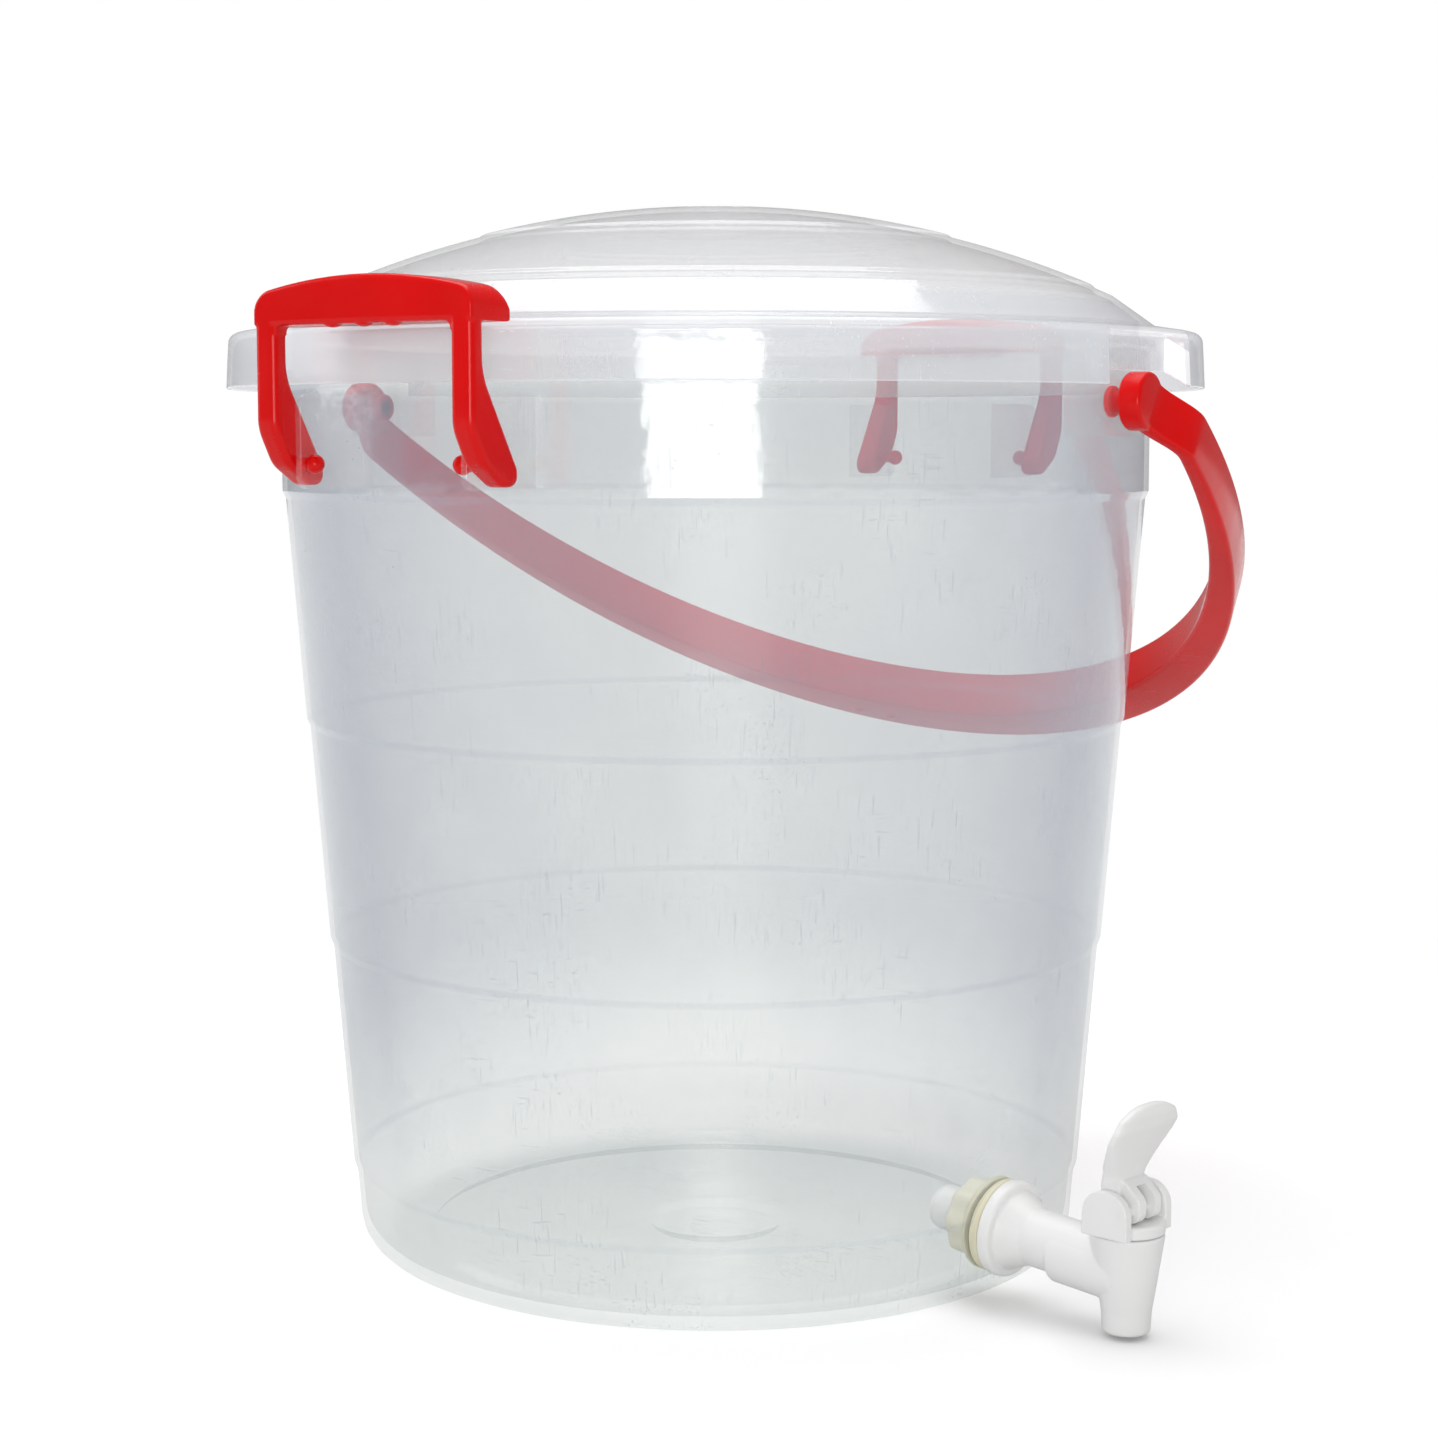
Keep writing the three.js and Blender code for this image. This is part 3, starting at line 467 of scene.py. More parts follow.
lines = maths(moulding, "MAXIMUM", one_lines, remapped(moulding, other_way, 0.68, 0.76))
handled = noise(moulding, place, scale=22, detail=2, roughness=0.6)
where = remapped(moulding, handled, 0.48, 0.66)
moulding.links.new(maths(moulding, "MULTIPLY", lines, where), group_out.inputs["Scratches"])
dulled = noise(moulding, place, scale=45, detail=4, roughness=0.65)
moulding.links.new(remapped(moulding, dulled, 0.42, 0.72), group_out.inputs["Bloom"])
print("group:", moulding.name, [socket.name for socket in group_out.inputs if socket.name])


# %% Helpers for finishes
def new_finish(name):
    """An empty material, with the moulding's marks read at the object's own coordinates."""
    finish = bpy.data.materials.new(name)
    finish.use_nodes = True
    tree = finish.node_tree
    tree.nodes.clear()
    output = tree.nodes.new("ShaderNodeOutputMaterial")
    position = tree.nodes.new("ShaderNodeTexCoord").outputs["Object"]
    marks = node_in(tree, "ShaderNodeGroup", node_tree=moulding)
    tree.links.new(position, marks.inputs["Place"])
    return finish, tree, output, marks


def tinted(tree, mask, colour_a, colour_b):
    """A colour that goes from one to the other as a mask goes from 0 to 1."""
    made = node_in(tree, "ShaderNodeMix", data_type="RGBA")
    tree.links.new(mask, made.inputs[0])
    for socket, colour in ((made.inputs[6], colour_a), (made.inputs[7], colour_b)):
        if isinstance(colour, bpy.types.NodeSocket):
            tree.links.new(colour, socket)
        else:
            socket.default_value = (*colour, 1)
    return made.outputs[2]


def bumped(tree, height, distance):
    """The normal, tilted by the slope of a height that rises by a distance as it goes from 0 to 1."""
    made = node_in(tree, "ShaderNodeBump")
    made.inputs["Distance"].default_value = distance
    tree.links.new(height, made.inputs["Height"])
    return made.outputs["Normal"]


# %% The finish of the solid plastics
BLOOM_SHARE = 0.45  # how much the bloom dulls, beside a scratch
SCRATCH_SHARE = 0.5  # how deep a scratch is, beside the waviness


def plastic(name, colour, drift_to, roughness, dull, wave, ior=1.5):
    """A Principled plastic: the colour drifts between two tones, scratches and bloom roughen it, and a fine
    waviness bends what it reflects."""
    finish, tree, output, marks = new_finish(name)
    shader = tree.nodes.new("ShaderNodeBsdfPrincipled")
    shader.inputs["IOR"].default_value = ior
    shade = tinted(tree, remapped(tree, marks.outputs["Drift"], 0.3, 0.7), colour, drift_to)
    tree.links.new(shade, shader.inputs["Base Color"])
    bloom = maths(tree, "MULTIPLY", marks.outputs["Bloom"], BLOOM_SHARE)
    wear = maths(tree, "MAXIMUM", marks.outputs["Scratches"], bloom)
    worn = maths(tree, "ADD", maths(tree, "MULTIPLY", wear, dull), roughness)
    tree.links.new(worn, shader.inputs["Roughness"])
    furrows = maths(tree, "MULTIPLY", marks.outputs["Scratches"], SCRATCH_SHARE)
    relief = maths(tree, "SUBTRACT", marks.outputs["Waviness"], furrows)
    tree.links.new(bumped(tree, relief, wave), shader.inputs["Normal"])
    tree.links.new(shader.outputs["BSDF"], output.inputs["Surface"])
    return finish


# %% Red, white and cream
red = plastic(
    "red_polypropylene", (0.78, 0.0015, 0.0015), (0.68, 0.001, 0.001),
    roughness=0.17, dull=0.22, wave=0.00012, ior=1.3)
white = plastic(
    "white_tap_plastic", (0.90, 0.90, 0.89), (0.86, 0.86, 0.85), roughness=0.30, dull=0.18, wave=0.0001)
cream = plastic(
    "cream_nut_plastic", (0.86, 0.83, 0.68), (0.80, 0.76, 0.60), roughness=0.38, dull=0.2, wave=0.00015)
seal = plastic(
    "cream_soft_seal", (0.80, 0.76, 0.58), (0.72, 0.68, 0.50), roughness=0.62, dull=0.2, wave=0.0002)
print("finishes:", red.name, white.name, cream.name, seal.name)

# %% [markdown]
# ## The see-through plastic
# Natural polypropylene isn't glass: it scatters a little light in its thickness, which lays a pale grey
# veil over what is behind it, and it shines at its surface. Each skin of the wall is therefore mostly a
# Transparent shader, with a share of scattered light that grows as the wall is seen more edge on, because
# the eye then looks through more of it, and a gloss on top that grows with the slant's fifth power. Real
# refraction isn't used: the wall is thin and parallel, so it hardly bends the view, and lamps couldn't
# light what is inside.

# %% A node group for what a thin wall shows
LEAST_HEAD_ON = 0.45  # past this slant the wall looks no thicker
GLOSS_HEAD_ON, GLOSS_EDGE_ON = 0.04, 0.55

thin_wall, group_in, group_out = new_group(
    "thin_wall",
    [("Facing", "NodeSocketFloat", 0.0), ("Haze", "NodeSocketFloat", 0.15)],
    [("Veil", "NodeSocketFloat"), ("Gloss", "NodeSocketFloat")],
)
facing = group_in.outputs["Facing"]
head_on = maths(thin_wall, "MAXIMUM", maths(thin_wall, "SUBTRACT", 1.0, facing), LEAST_HEAD_ON)
kept = maths(thin_wall, "SUBTRACT", 1.0, group_in.outputs["Haze"])
passed = maths(thin_wall, "POWER", kept, maths(thin_wall, "DIVIDE", 1.0, head_on))
thin_wall.links.new(maths(thin_wall, "SUBTRACT", 1.0, passed), group_out.inputs["Veil"])
edge_on = maths(thin_wall, "MULTIPLY", maths(thin_wall, "POWER", facing, 5.0), GLOSS_EDGE_ON)
thin_wall.links.new(maths(thin_wall, "ADD", edge_on, GLOSS_HEAD_ON), group_out.inputs["Gloss"])
print("group:", thin_wall.name)

# %% [markdown]
# The cloudiness isn't the same everywhere. Near the foot it is thinned as painted light: less veil lightens
# the floor and the low wall, which lie in the shade of the walls. At the rim, where five skins lie close
# together, it is thinned as painted light too, which takes out the dark band of their shaded veil. The
# lid's skirt and the foot of its dome are the milkiest. A second group works those places out from the
# height and the distance to the axis. It also says which faces look inwards, or make up the floor,
# because they have no polish of their own.

# %% A node group for places on the walls
# Painted light: up to these heights the haze is thinned, which lightens the shaded floor and low wall.
FOOT_PAINTED_LIGHT_FADE = (4, 110)  # heights, in millimetres
RIM_START, RIM_END = (316, 322), (337.2, 339.2)
RIM_REACH = (158.5, 163)  # distances from the bucket's axis
SKIRT_REACH = (165, 176)
DOME_FOOT_REACH = (146, 156)
DOME_FOOT_START = (337.5, 339.5)
FLOOR_LIMIT = 12
FACES_IN = -0.01  # metres times cosine: more than this inwards, seen from the axis
FACES_LEVEL = 0.8
FLOOR_MATT_SHARE = 0.6

wall_places, group_in, group_out = new_group(
    "wall_places",
    [("Place", "NodeSocketVector", None), ("Normal", "NodeSocketVector", None)],
    [("Height", "NodeSocketFloat"), ("PaintedLightFoot", "NodeSocketFloat"), ("PaintedLightRim", "NodeSocketFloat"),
     ("Skirt", "NodeSocketFloat"), ("Matt", "NodeSocketFloat")],
)


def split(tree, vector):
    """The X, Y and Z of a vector."""
    made = node_in(tree, "ShaderNodeSeparateXYZ")
    tree.links.new(vector, made.inputs[0])
    return made.outputs


def fading(value, span, to_low=0.0, to_high=1.0):
    """Between two places given in millimetres, a mask goes from one share to another."""
    return remapped(wall_places, value, span[0] * MM, span[1] * MM, to_low, to_high)


# %% What that group works out
place = split(wall_places, group_in.outputs["Place"])
normal = split(wall_places, group_in.outputs["Normal"])
level_place = node_in(wall_places, "ShaderNodeCombineXYZ")
for axis in ("X", "Y"):
    wall_places.links.new(place[axis], level_place.inputs[axis])
distance = node_in(wall_places, "ShaderNodeVectorMath", operation="LENGTH")
wall_places.links.new(level_place.outputs[0], distance.inputs[0])
away, up = distance.outputs["Value"], place["Z"]
rim = maths(wall_places, "MULTIPLY", fading(up, RIM_START), fading(away, RIM_REACH, 1.0, 0.0))
rim = maths(wall_places, "MULTIPLY", rim, fading(up, RIM_END, 1.0, 0.0))
dome_foot = maths(wall_places, "MULTIPLY", fading(away, DOME_FOOT_REACH), fading(up, DOME_FOOT_START))
outwards = node_in(wall_places, "ShaderNodeVectorMath", operation="DOT_PRODUCT")
wall_places.links.new(level_place.outputs[0], outwards.inputs[0])
wall_places.links.new(group_in.outputs["Normal"], outwards.inputs[1])
inside = maths(wall_places, "LESS_THAN", outwards.outputs["Value"], FACES_IN)
level = maths(wall_places, "GREATER_THAN", maths(wall_places, "ABSOLUTE", normal["Z"]), FACES_LEVEL)
level = maths(wall_places, "MULTIPLY", level, maths(wall_places, "LESS_THAN", up, FLOOR_LIMIT * MM))
level = maths(wall_places, "MULTIPLY", level, FLOOR_MATT_SHARE)
for label, value in (
    ("Height", up),
    ("PaintedLightFoot", fading(up, FOOT_PAINTED_LIGHT_FADE)),
    ("PaintedLightRim", rim),
    ("Skirt", maths(wall_places, "MAXIMUM", fading(away, SKIRT_REACH), dome_foot)),
    ("Matt", maths(wall_places, "MAXIMUM", inside, level)),
):
    wall_places.links.new(value, group_out.inputs[label])
print("group:", wall_places.name)

# %% [markdown]
# The finish puts these together. Its haze is a number for the piece, times the foot's and the rim's
# shares, which thin it as painted light where the veil lies in shade, plus a faint line at each mould ring,
# partly the thicker plastic of the ring's step and partly a painted stand-in for its glints, plus the
# scratches and the skirt's own milk. The veil is half lit from the front and half from behind, as thin
# milky plastic is. Rays that look for a lamp mostly pass, because the wall scatters light forwards: so the
# bail, the floor and the far wall stay bright behind it.


# %% The wall's haze
# Painted light: at the rim the haze is cut to this share, which takes out the band of shaded stacked skins.
RIM_PAINTED_LIGHT_SHARE = 0.3
# A ring's line is partly the thicker plastic of its step and partly a painted glint.
RING_HAZE_AND_PAINTED_GLINT, SCRATCH_HAZE = 0.025, 0.12
RING_CORE, RING_EDGE = 0.5, 1.8  # a ring's line is full up to the first distance and gone at the second


def mixed(tree, share, first, second):
    """A Mix Shader. Its share is a socket or a number."""
    made = node_in(tree, "ShaderNodeMixShader")
    if isinstance(share, bpy.types.NodeSocket):
        tree.links.new(share, made.inputs["Fac"])
    else:
        made.inputs["Fac"].default_value = share
    tree.links.new(first.outputs[0], made.inputs[1])
    tree.links.new(second.outputs[0], made.inputs[2])
    return made


def weighed(tree, value, weight, added):
    """A value times a weight, plus a number or a socket."""
    return maths(tree, "ADD", maths(tree, "MULTIPLY", value, weight), added)


def haze_of(tree, marks, spots, haze, haze_more, foot_painted_light_share, rings, skirt_haze):
    """The piece's haze and its drift, times the shares of the foot and of the rim, which thin it as painted
    light where the veil lies in shade, plus the lines of the rings, each partly a painted glint, the
    scratches and the skirt's milk."""
    cloud = weighed(tree, marks.outputs["Drift"], haze_more, haze)
    # Painted light: the foot's and the rim's shares thin the haze where the veil lies in shade.
    cloud = maths(tree, "MULTIPLY", cloud, weighed(tree, spots.outputs["PaintedLightFoot"], 1 - foot_painted_light_share, foot_painted_light_share))
    cloud = maths(tree, "MULTIPLY", cloud, weighed(tree, spots.outputs["PaintedLightRim"], RIM_PAINTED_LIGHT_SHARE - 1, 1.0))
    # Each ring adds a line of haze: partly the thicker step, partly a painted stand-in for its glints.
    for ring in rings:
        off = maths(tree, "ABSOLUTE", maths(tree, "SUBTRACT", spots.outputs["Height"], ring * MM))
        line = remapped(tree, off, RING_CORE * MM, RING_EDGE * MM, RING_HAZE_AND_PAINTED_GLINT, 0.0)
        cloud = maths(tree, "ADD", cloud, line)
    cloud = weighed(tree, marks.outputs["Scratches"], SCRATCH_HAZE, cloud)
    return weighed(tree, spots.outputs["Skirt"], skirt_haze, cloud)


# %% The clear finish
BEHIND_SHARE, MATT_LOSS_SHARE, LAMP_SHARE = 0.45, 0.8, 0.7
MILK_ROUGHNESS = 0.25
GLOSS_ROUGHNESS = {"polished": 0.07, "bloom": 0.05, "matt": 0.16, "scratches": 0.2}


def clear_plastic(name, haze, haze_more, foot_painted_light_share, veil_colour, passes, rings=(), skirt_haze=0.0):
    """Three layers: what passes, a milky veil over it by the wall's own share, and a gloss over both. Most
    of each lamp's light is let by besides."""
    finish, tree, output, marks = new_finish(name)
    place = node_in(tree, "ShaderNodeTexCoord")
    spots = node_in(tree, "ShaderNodeGroup", node_tree=wall_places)
    tree.links.new(place.outputs["Object"], spots.inputs["Place"])
    tree.links.new(place.outputs["Normal"], spots.inputs["Normal"])
    slant = node_in(tree, "ShaderNodeLayerWeight")
    slant.inputs["Blend"].default_value = 0.5
    wall = node_in(tree, "ShaderNodeGroup", node_tree=thin_wall)
    tree.links.new(slant.outputs["Facing"], wall.inputs["Facing"])
    cloud = haze_of(tree, marks, spots, haze, haze_more, foot_painted_light_share, rings, skirt_haze)
    tree.links.new(cloud, wall.inputs["Haze"])

    clear = node_in(tree, "ShaderNodeBsdfTransparent")
    clear.inputs["Color"].default_value = (*passes, 1)
    milk = node_in(tree, "ShaderNodeBsdfPrincipled")
    milk.inputs["Base Color"].default_value = (*veil_colour, 1)
    milk.inputs["Roughness"].default_value = MILK_ROUGHNESS
    through = node_in(tree, "ShaderNodeBsdfTranslucent")
    through.inputs["Color"].default_value = (*veil_colour, 1)
    skin_deep = mixed(tree, wall.outputs["Veil"], clear, mixed(tree, BEHIND_SHARE, milk, through))

    gloss = node_in(tree, "ShaderNodeBsdfGlossy")
    gloss.inputs["Color"].default_value = (1, 1, 1, 1)
    rough = weighed(tree, marks.outputs["Bloom"], GLOSS_ROUGHNESS["bloom"], GLOSS_ROUGHNESS["polished"])
    rough = weighed(tree, spots.outputs["Matt"], GLOSS_ROUGHNESS["matt"], rough)
    rough = weighed(tree, marks.outputs["Scratches"], GLOSS_ROUGHNESS["scratches"], rough)
    tree.links.new(rough, gloss.inputs["Roughness"])
    tree.links.new(bumped(tree, marks.outputs["Waviness"], 0.0002), gloss.inputs["Normal"])
    polish = weighed(tree, spots.outputs["Matt"], -MATT_LOSS_SHARE, 1.0)
    whole = mixed(tree, maths(tree, "MULTIPLY", wall.outputs["Gloss"], polish), skin_deep, gloss)

    looks_for_a_lamp = node_in(tree, "ShaderNodeLightPath").outputs["Is Shadow Ray"]
    let_by = maths(tree, "MULTIPLY", looks_for_a_lamp, LAMP_SHARE)
    lit_through = mixed(tree, let_by, whole, node_in(tree, "ShaderNodeBsdfTransparent"))
    tree.links.new(lit_through.outputs[0], output.inputs["Surface"])
    return finish


# %% The three clear finishes
# On the body the foot's share thins the haze low down: painted light on the shaded floor and low wall.
clear_body = clear_plastic(
    "clear_body_plastic", haze=0.12, haze_more=0.10, foot_painted_light_share=0.32,
    veil_colour=(0.45, 0.48, 0.57), passes=(0.992, 1, 0.985), rings=RINGS)
clear_ears = clear_plastic(
    "clear_ear_plastic", haze=0.035, haze_more=0.02, foot_painted_light_share=1.0,
    veil_colour=(0.76, 0.77, 0.82), passes=(1, 0.998, 0.994))
clear_lid = clear_plastic(
    "clear_lid_plastic", haze=0.06, haze_more=0.05, foot_painted_light_share=1.0,
    veil_colour=(0.84, 0.86, 0.90), passes=(1, 0.998, 0.994), skirt_haze=0.2)
print("clear finishes:", clear_body.name, clear_ears.name, clear_lid.name)

# %% [markdown]
# ## The bucket's shell
# The real shell is one shot of plastic: a wall that leans out a little so that it leaves the mould, four
# rings that each step it outwards, a beaded rim and a raised floor. All of that is round, so one outline
# of radius and height turned about the axis gives the whole shell, inside and outside together. Long
# sides get extra points so that the tap's hole is cut through small faces and the reflections beside it
# stay even.


# %% The shell's outline
RING_RISE = 1.3  # half of a ring's slope
FOOT_CORNER = 12
PAD_RADIUS = 24  # of the level pad in the middle of the underside
FOOT_RING = 110  # the inner radius of the ring that the bucket stands on
HOLLOW = 3  # the height of the underside between pad and ring
BEAD = 2  # how far the rim's bead stands out


def wall_rows(inset, level, corner):
    """The wall from the floor up, set in from its outer face: each ring is a short slope with rounded
    ends."""
    rows = [[float(wall_radius(level)) - inset, level, corner]]
    for ring in RINGS:
        below = float(wall_radius(ring)) - inset
        rows += [[below, ring - RING_RISE, 1.6], [below + RING_STEP, ring + RING_RISE, 1.2]]
    return rows


shell_outline = rounded([
    [0, 0], [PAD_RADIUS, 0, 1.2], [PAD_RADIUS + 2, HOLLOW, 1.2],
    [FOOT_RING - 2, HOLLOW, 1.5], [FOOT_RING, 0, 0.8],
    *wall_rows(0, 0, FOOT_CORNER),
    [COLLAR, HEIGHT - 3.5, 0.6], [COLLAR + BEAD, HEIGHT - 2.5, 0.6], [COLLAR + BEAD, HEIGHT, 0.9],
    [COLLAR - WALL, HEIGHT, 0.7], *wall_rows(WALL, FLOOR_TOP, FOOT_CORNER - WALL)[::-1], [0, FLOOR_TOP],
])
shell = turned(filled(shell_outline, 6), SIDES)
print("shell outline:", len(shell_outline), "points")

# %% [markdown]
# ## Ears and fins
# Two hollow ears stand off the collar, and the bail's headed pins turn in them. An ear is open below, so
# it is a visor: a flat face with slanting cheeks, bent over at the top and run back into the wall. Four
# plain fins carry the clips' ball-ended pins.


# %% An ear as a visor
EAR_FLAT, EAR_WIDEST = 13, 30  # half widths of its flat face and of its root
EAR_ROOT_DEPTH = 11.4
EAR_LOW, EAR_HIGH = AXIS_HEIGHT - 11.7, AXIS_HEIGHT + 12.3
EAR_CORNER = 3


def ear():
    """For each step round the face, a section goes up the front, bends over and runs back level to the
    collar. The same again, set in by the wall, is its inside."""
    spread = (EAR_WIDEST - EAR_FLAT) / EAR_ROOT_DEPTH
    back = COLLAR - WALL / 2

    def face(inset):
        """Its outline from above. A cheek ends where its straight line meets the circle of the wall's
        middle."""
        shift = inset * math.hypot(1, spread)
        face_x = EAR_FACE - inset
        half = EAR_FLAT + (EAR_FACE - face_x) * spread - shift
        ends = np.linspace(half, EAR_WIDEST + 10, 400)
        x = face_x - (ends - half) / spread
        root = ends[np.argmax(x ** 2 + ends ** 2 <= back ** 2)]
        root_x = face_x - (root - half) / spread
        line = rounded([
            [root_x, -root], [face_x, -half, EAR_CORNER], [face_x, half, EAR_CORNER], [root_x, root],
            [0, 0],
        ])[:-1]
        long_way = np.concatenate([[0], np.cumsum(np.linalg.norm(np.diff(line, axis=0), axis=1))])
        share = np.linspace(0, long_way[-1], 60)
        return np.stack([np.interp(share, long_way, line[:, column]) for column in range(2)], axis=1)

    def sheet(inset):
        """Up the front, round a quarter circle and back to the collar."""
        front = face(inset)
        reach = np.sqrt(np.maximum(back ** 2 - front[:, 1] ** 2, 0))
        bend = max(EAR_CORNER - inset, 0.8)
        z_top = EAR_HIGH - inset
        turn = np.linspace(0, np.pi / 2, 6)
        inwards = np.concatenate([[0], bend * (1 - np.cos(turn))])
        heights = np.concatenate([[EAR_LOW], z_top - bend + bend * np.sin(turn)])
        room = np.maximum(front[:, 0] - reach, 0.05)[:, None]
        x = front[:, 0, None] - np.minimum(inwards[None], room)
        x = np.concatenate([x, reach[:, None]], axis=1)
        z = np.broadcast_to(np.concatenate([heights, [z_top]]), x.shape)
        return np.stack([x, np.broadcast_to(front[:, 1, None], x.shape), z], axis=-1)

    outer, inner = sheet(0), sheet(WALL)
    return run(np.concatenate([outer, inner[:, ::-1]], axis=1))


# %% A fin as a plate
FIN_WALL = 2.5
FIN_BELOW, FIN_ABOVE, FIN_BEYOND = 8, 22.6, 4  # its reach from the clip's pivot


def fin():
    """A plate along the clip's leg, from inside the wall to just past the pivot."""
    reach, height = CLIP_PIVOT
    low, high = height - FIN_BELOW, height + FIN_ABOVE
    outline = rounded([
        [COLLAR - 8, low], [reach + FIN_BEYOND, low, 4], [reach + FIN_BEYOND, high, 4], [COLLAR - 8, high],
    ], 8)
    far = CLIP_OPENING - RUNNING
    vertices, faces = plate(outline, far - FIN_WALL, far, (0, 2, 1))
    start = math.sqrt((COLLAR - WALL / 2) ** 2 - (far - FIN_WALL / 2) ** 2)
    vertices[:, 0] = np.maximum(vertices[:, 0], start)
    return vertices, faces


# %% The bucket's three pieces
bucket = piece_of("bucket_shell", [shell])
hole = rod(SHANK_RADIUS + RUNNING, -26, 26, axis=0)
hole = swung(moved(tilted(hole, math.atan(TAPER)), TAP_WALL, 0, TAP_HEIGHT), TAP_TURN)
cut(bucket, [hole])
dressed(bucket, "bucket_body", "bucket", clear_body, 30)

ears = piece_of("bucket_ears", [ear(), swung(ear(), math.pi)])
dressed(ears, "bucket_body", "bucket", clear_ears, 50)
fins = piece_of("bucket_fins", [
    swung(shape, turn) for turn in (math.pi / 2, -math.pi / 2) for shape in (fin(), mirrored(fin()))
])
bevelled(fins, 0.5)
dressed(fins, "bucket_body", "bucket", clear_ears, 50)

# %% [markdown]
# ## The lid
# The lid is round but for a recess on each side, where its skirt steps in behind the bail's end. So its
# outline isn't the same at every angle: there are two outlines with the same number of points, one for
# the skirt and one for the recess, and a share that goes from 0 to 1 over a few degrees carries the
# surface from one to the other. The crown is a shallow ball with two moulded rings, each a small step
# down.

# %% The crown's height
DOME_FOOT = SKIRT_RADIUS - 17
CROWN_EDGE = DOME_FOOT - 16
CROWN_RINGS = np.array([0.946, 0.592]) * CROWN_EDGE
CROWN_STEP, CROWN_SLOPE = 0.8, 1.4  # how far down and outwards a ring's step goes
FOOT_RISE, CROWN_RISE = 11.4, 33.6
CROWN_TOP = SHOULDER_TOP + SHOULDER_RISE + FOOT_RISE + CROWN_RISE


def crown_height(radius):
    """A ball's cap, less a soft step outside each ring."""
    rise = CROWN_RISE - CROWN_STEP * len(CROWN_RINGS)
    sphere = (CROWN_EDGE ** 2 + rise ** 2) / (2 * rise)
    steps = CROWN_STEP * eased((radius[..., None] - CROWN_RINGS) / CROWN_SLOPE).sum(-1)
    return CROWN_TOP - (sphere - np.sqrt(sphere ** 2 - radius ** 2)) - steps


crown_radii = np.unique(np.concatenate([
    np.linspace(0, CROWN_EDGE - 0.5, 60), *[ring + np.linspace(-0.6, 2.0, 10) for ring in CROWN_RINGS],
]))
crown_rows = np.stack([crown_radii, crown_height(crown_radii)], axis=1).tolist()
print("crown from", round(crown_rows[0][1], 1), "to", round(crown_rows[-1][1], 1), "mm high")


# %% Two outlines for the lid
SHOULDER_EDGE = SKIRT_RADIUS - 0.9
PLUG_RADIUS = COLLAR - WALL - 0.5
PLUG_BOTTOM = SHOULDER_UNDER - 9
CORNER_STEPS = 5
RECESS_HALF = 30.0  # half of its width
CHEEK_TURN = 1.6  # the width over which the surface turns into the recess


def lid_outline(recessed):
    """From the crown's middle down the outside, round the skirt's edge and back up inside."""
    steep = FOOT_RISE / (DOME_FOOT - CROWN_EDGE)
    under = LID_WALL * math.hypot(1, steep)
    plug_inner, foot_height = PLUG_RADIUS - LID_WALL, SHOULDER_TOP + SHOULDER_RISE
    edge_height = float(crown_height(np.array(CROWN_EDGE)))
    if recessed:
        shoulder, shoulder_corner = SKIRT_RADIUS - 2, 1.9
        skirt = [[SKIRT_RADIUS - 1.05, SHOULDER_UNDER, 0.7], [RECESS_OUTER, SHOULDER_UNDER, 0.7],
                 [RECESS_OUTER, RECESS_BOTTOM, 0.6], [RECESS_INNER, RECESS_BOTTOM, 0.6],
                 [RECESS_INNER, SHOULDER_UNDER, 0.7]]
    else:
        shoulder, shoulder_corner = SKIRT_RADIUS - 1.1, 3.6
        skirt = [[SHOULDER_EDGE, SHOULDER_UNDER - 2, 0.7], [SKIRT_RADIUS - 0.66, SKIRT_BOTTOM + 12, 0.7],
                 [SKIRT_RADIUS, SKIRT_BOTTOM, 0.6], [SKIRT_RADIUS - LID_WALL, SKIRT_BOTTOM, 0.6],
                 [SKIRT_RADIUS - 3.1, SHOULDER_UNDER, 3.5]]
    return rounded([
        *crown_rows, [CROWN_EDGE, edge_height, 3], [DOME_FOOT, foot_height, 6],
        [shoulder, SHOULDER_TOP, shoulder_corner], *skirt,
        [PLUG_RADIUS, SHOULDER_UNDER, 0.5], [PLUG_RADIUS, PLUG_BOTTOM, 0.6], [plug_inner, PLUG_BOTTOM, 0.6],
        [plug_inner, foot_height + (DOME_FOOT - plug_inner) * steep - under, 1.5],
        [CROWN_EDGE, edge_height - under, 2],
        *[[radius, height - LID_WALL] for radius, height in crown_rows[::-1]],
    ], CORNER_STEPS)


# %% The share between the two outlines
plain, recess = lid_outline(False), lid_outline(True)
cheek_radius = 173
cheek_angle = math.asin((RECESS_HALF + 2) / cheek_radius)
edges = [cheek_angle * side + turn for turn in (0, math.pi) for side in (-1, 1)]
angles = np.unique(np.concatenate([
    np.linspace(-np.pi, np.pi, SIDES, endpoint=False),
    *[edge + np.linspace(-0.02, 0.02, 13) for edge in edges],
]) % (2 * np.pi))
angles = angles[np.concatenate([[True], np.diff(angles) > 1e-5])]
off_axis = np.abs(np.sin(angles)) * cheek_radius
inner_corners = 7  # five round the plug and the dome's foot, and the last two of the skirt
is_inner = np.arange(len(plain)) > len(plain) - len(crown_rows) - inner_corners * (CORNER_STEPS + 1)
half_width = np.where(is_inner, RECESS_HALF + 1.8, RECESS_HALF)[:, None]
share = eased((half_width + CHEEK_TURN / 2 - off_axis[None]) / CHEEK_TURN)
print("lid grid:", len(plain), "by", len(angles))

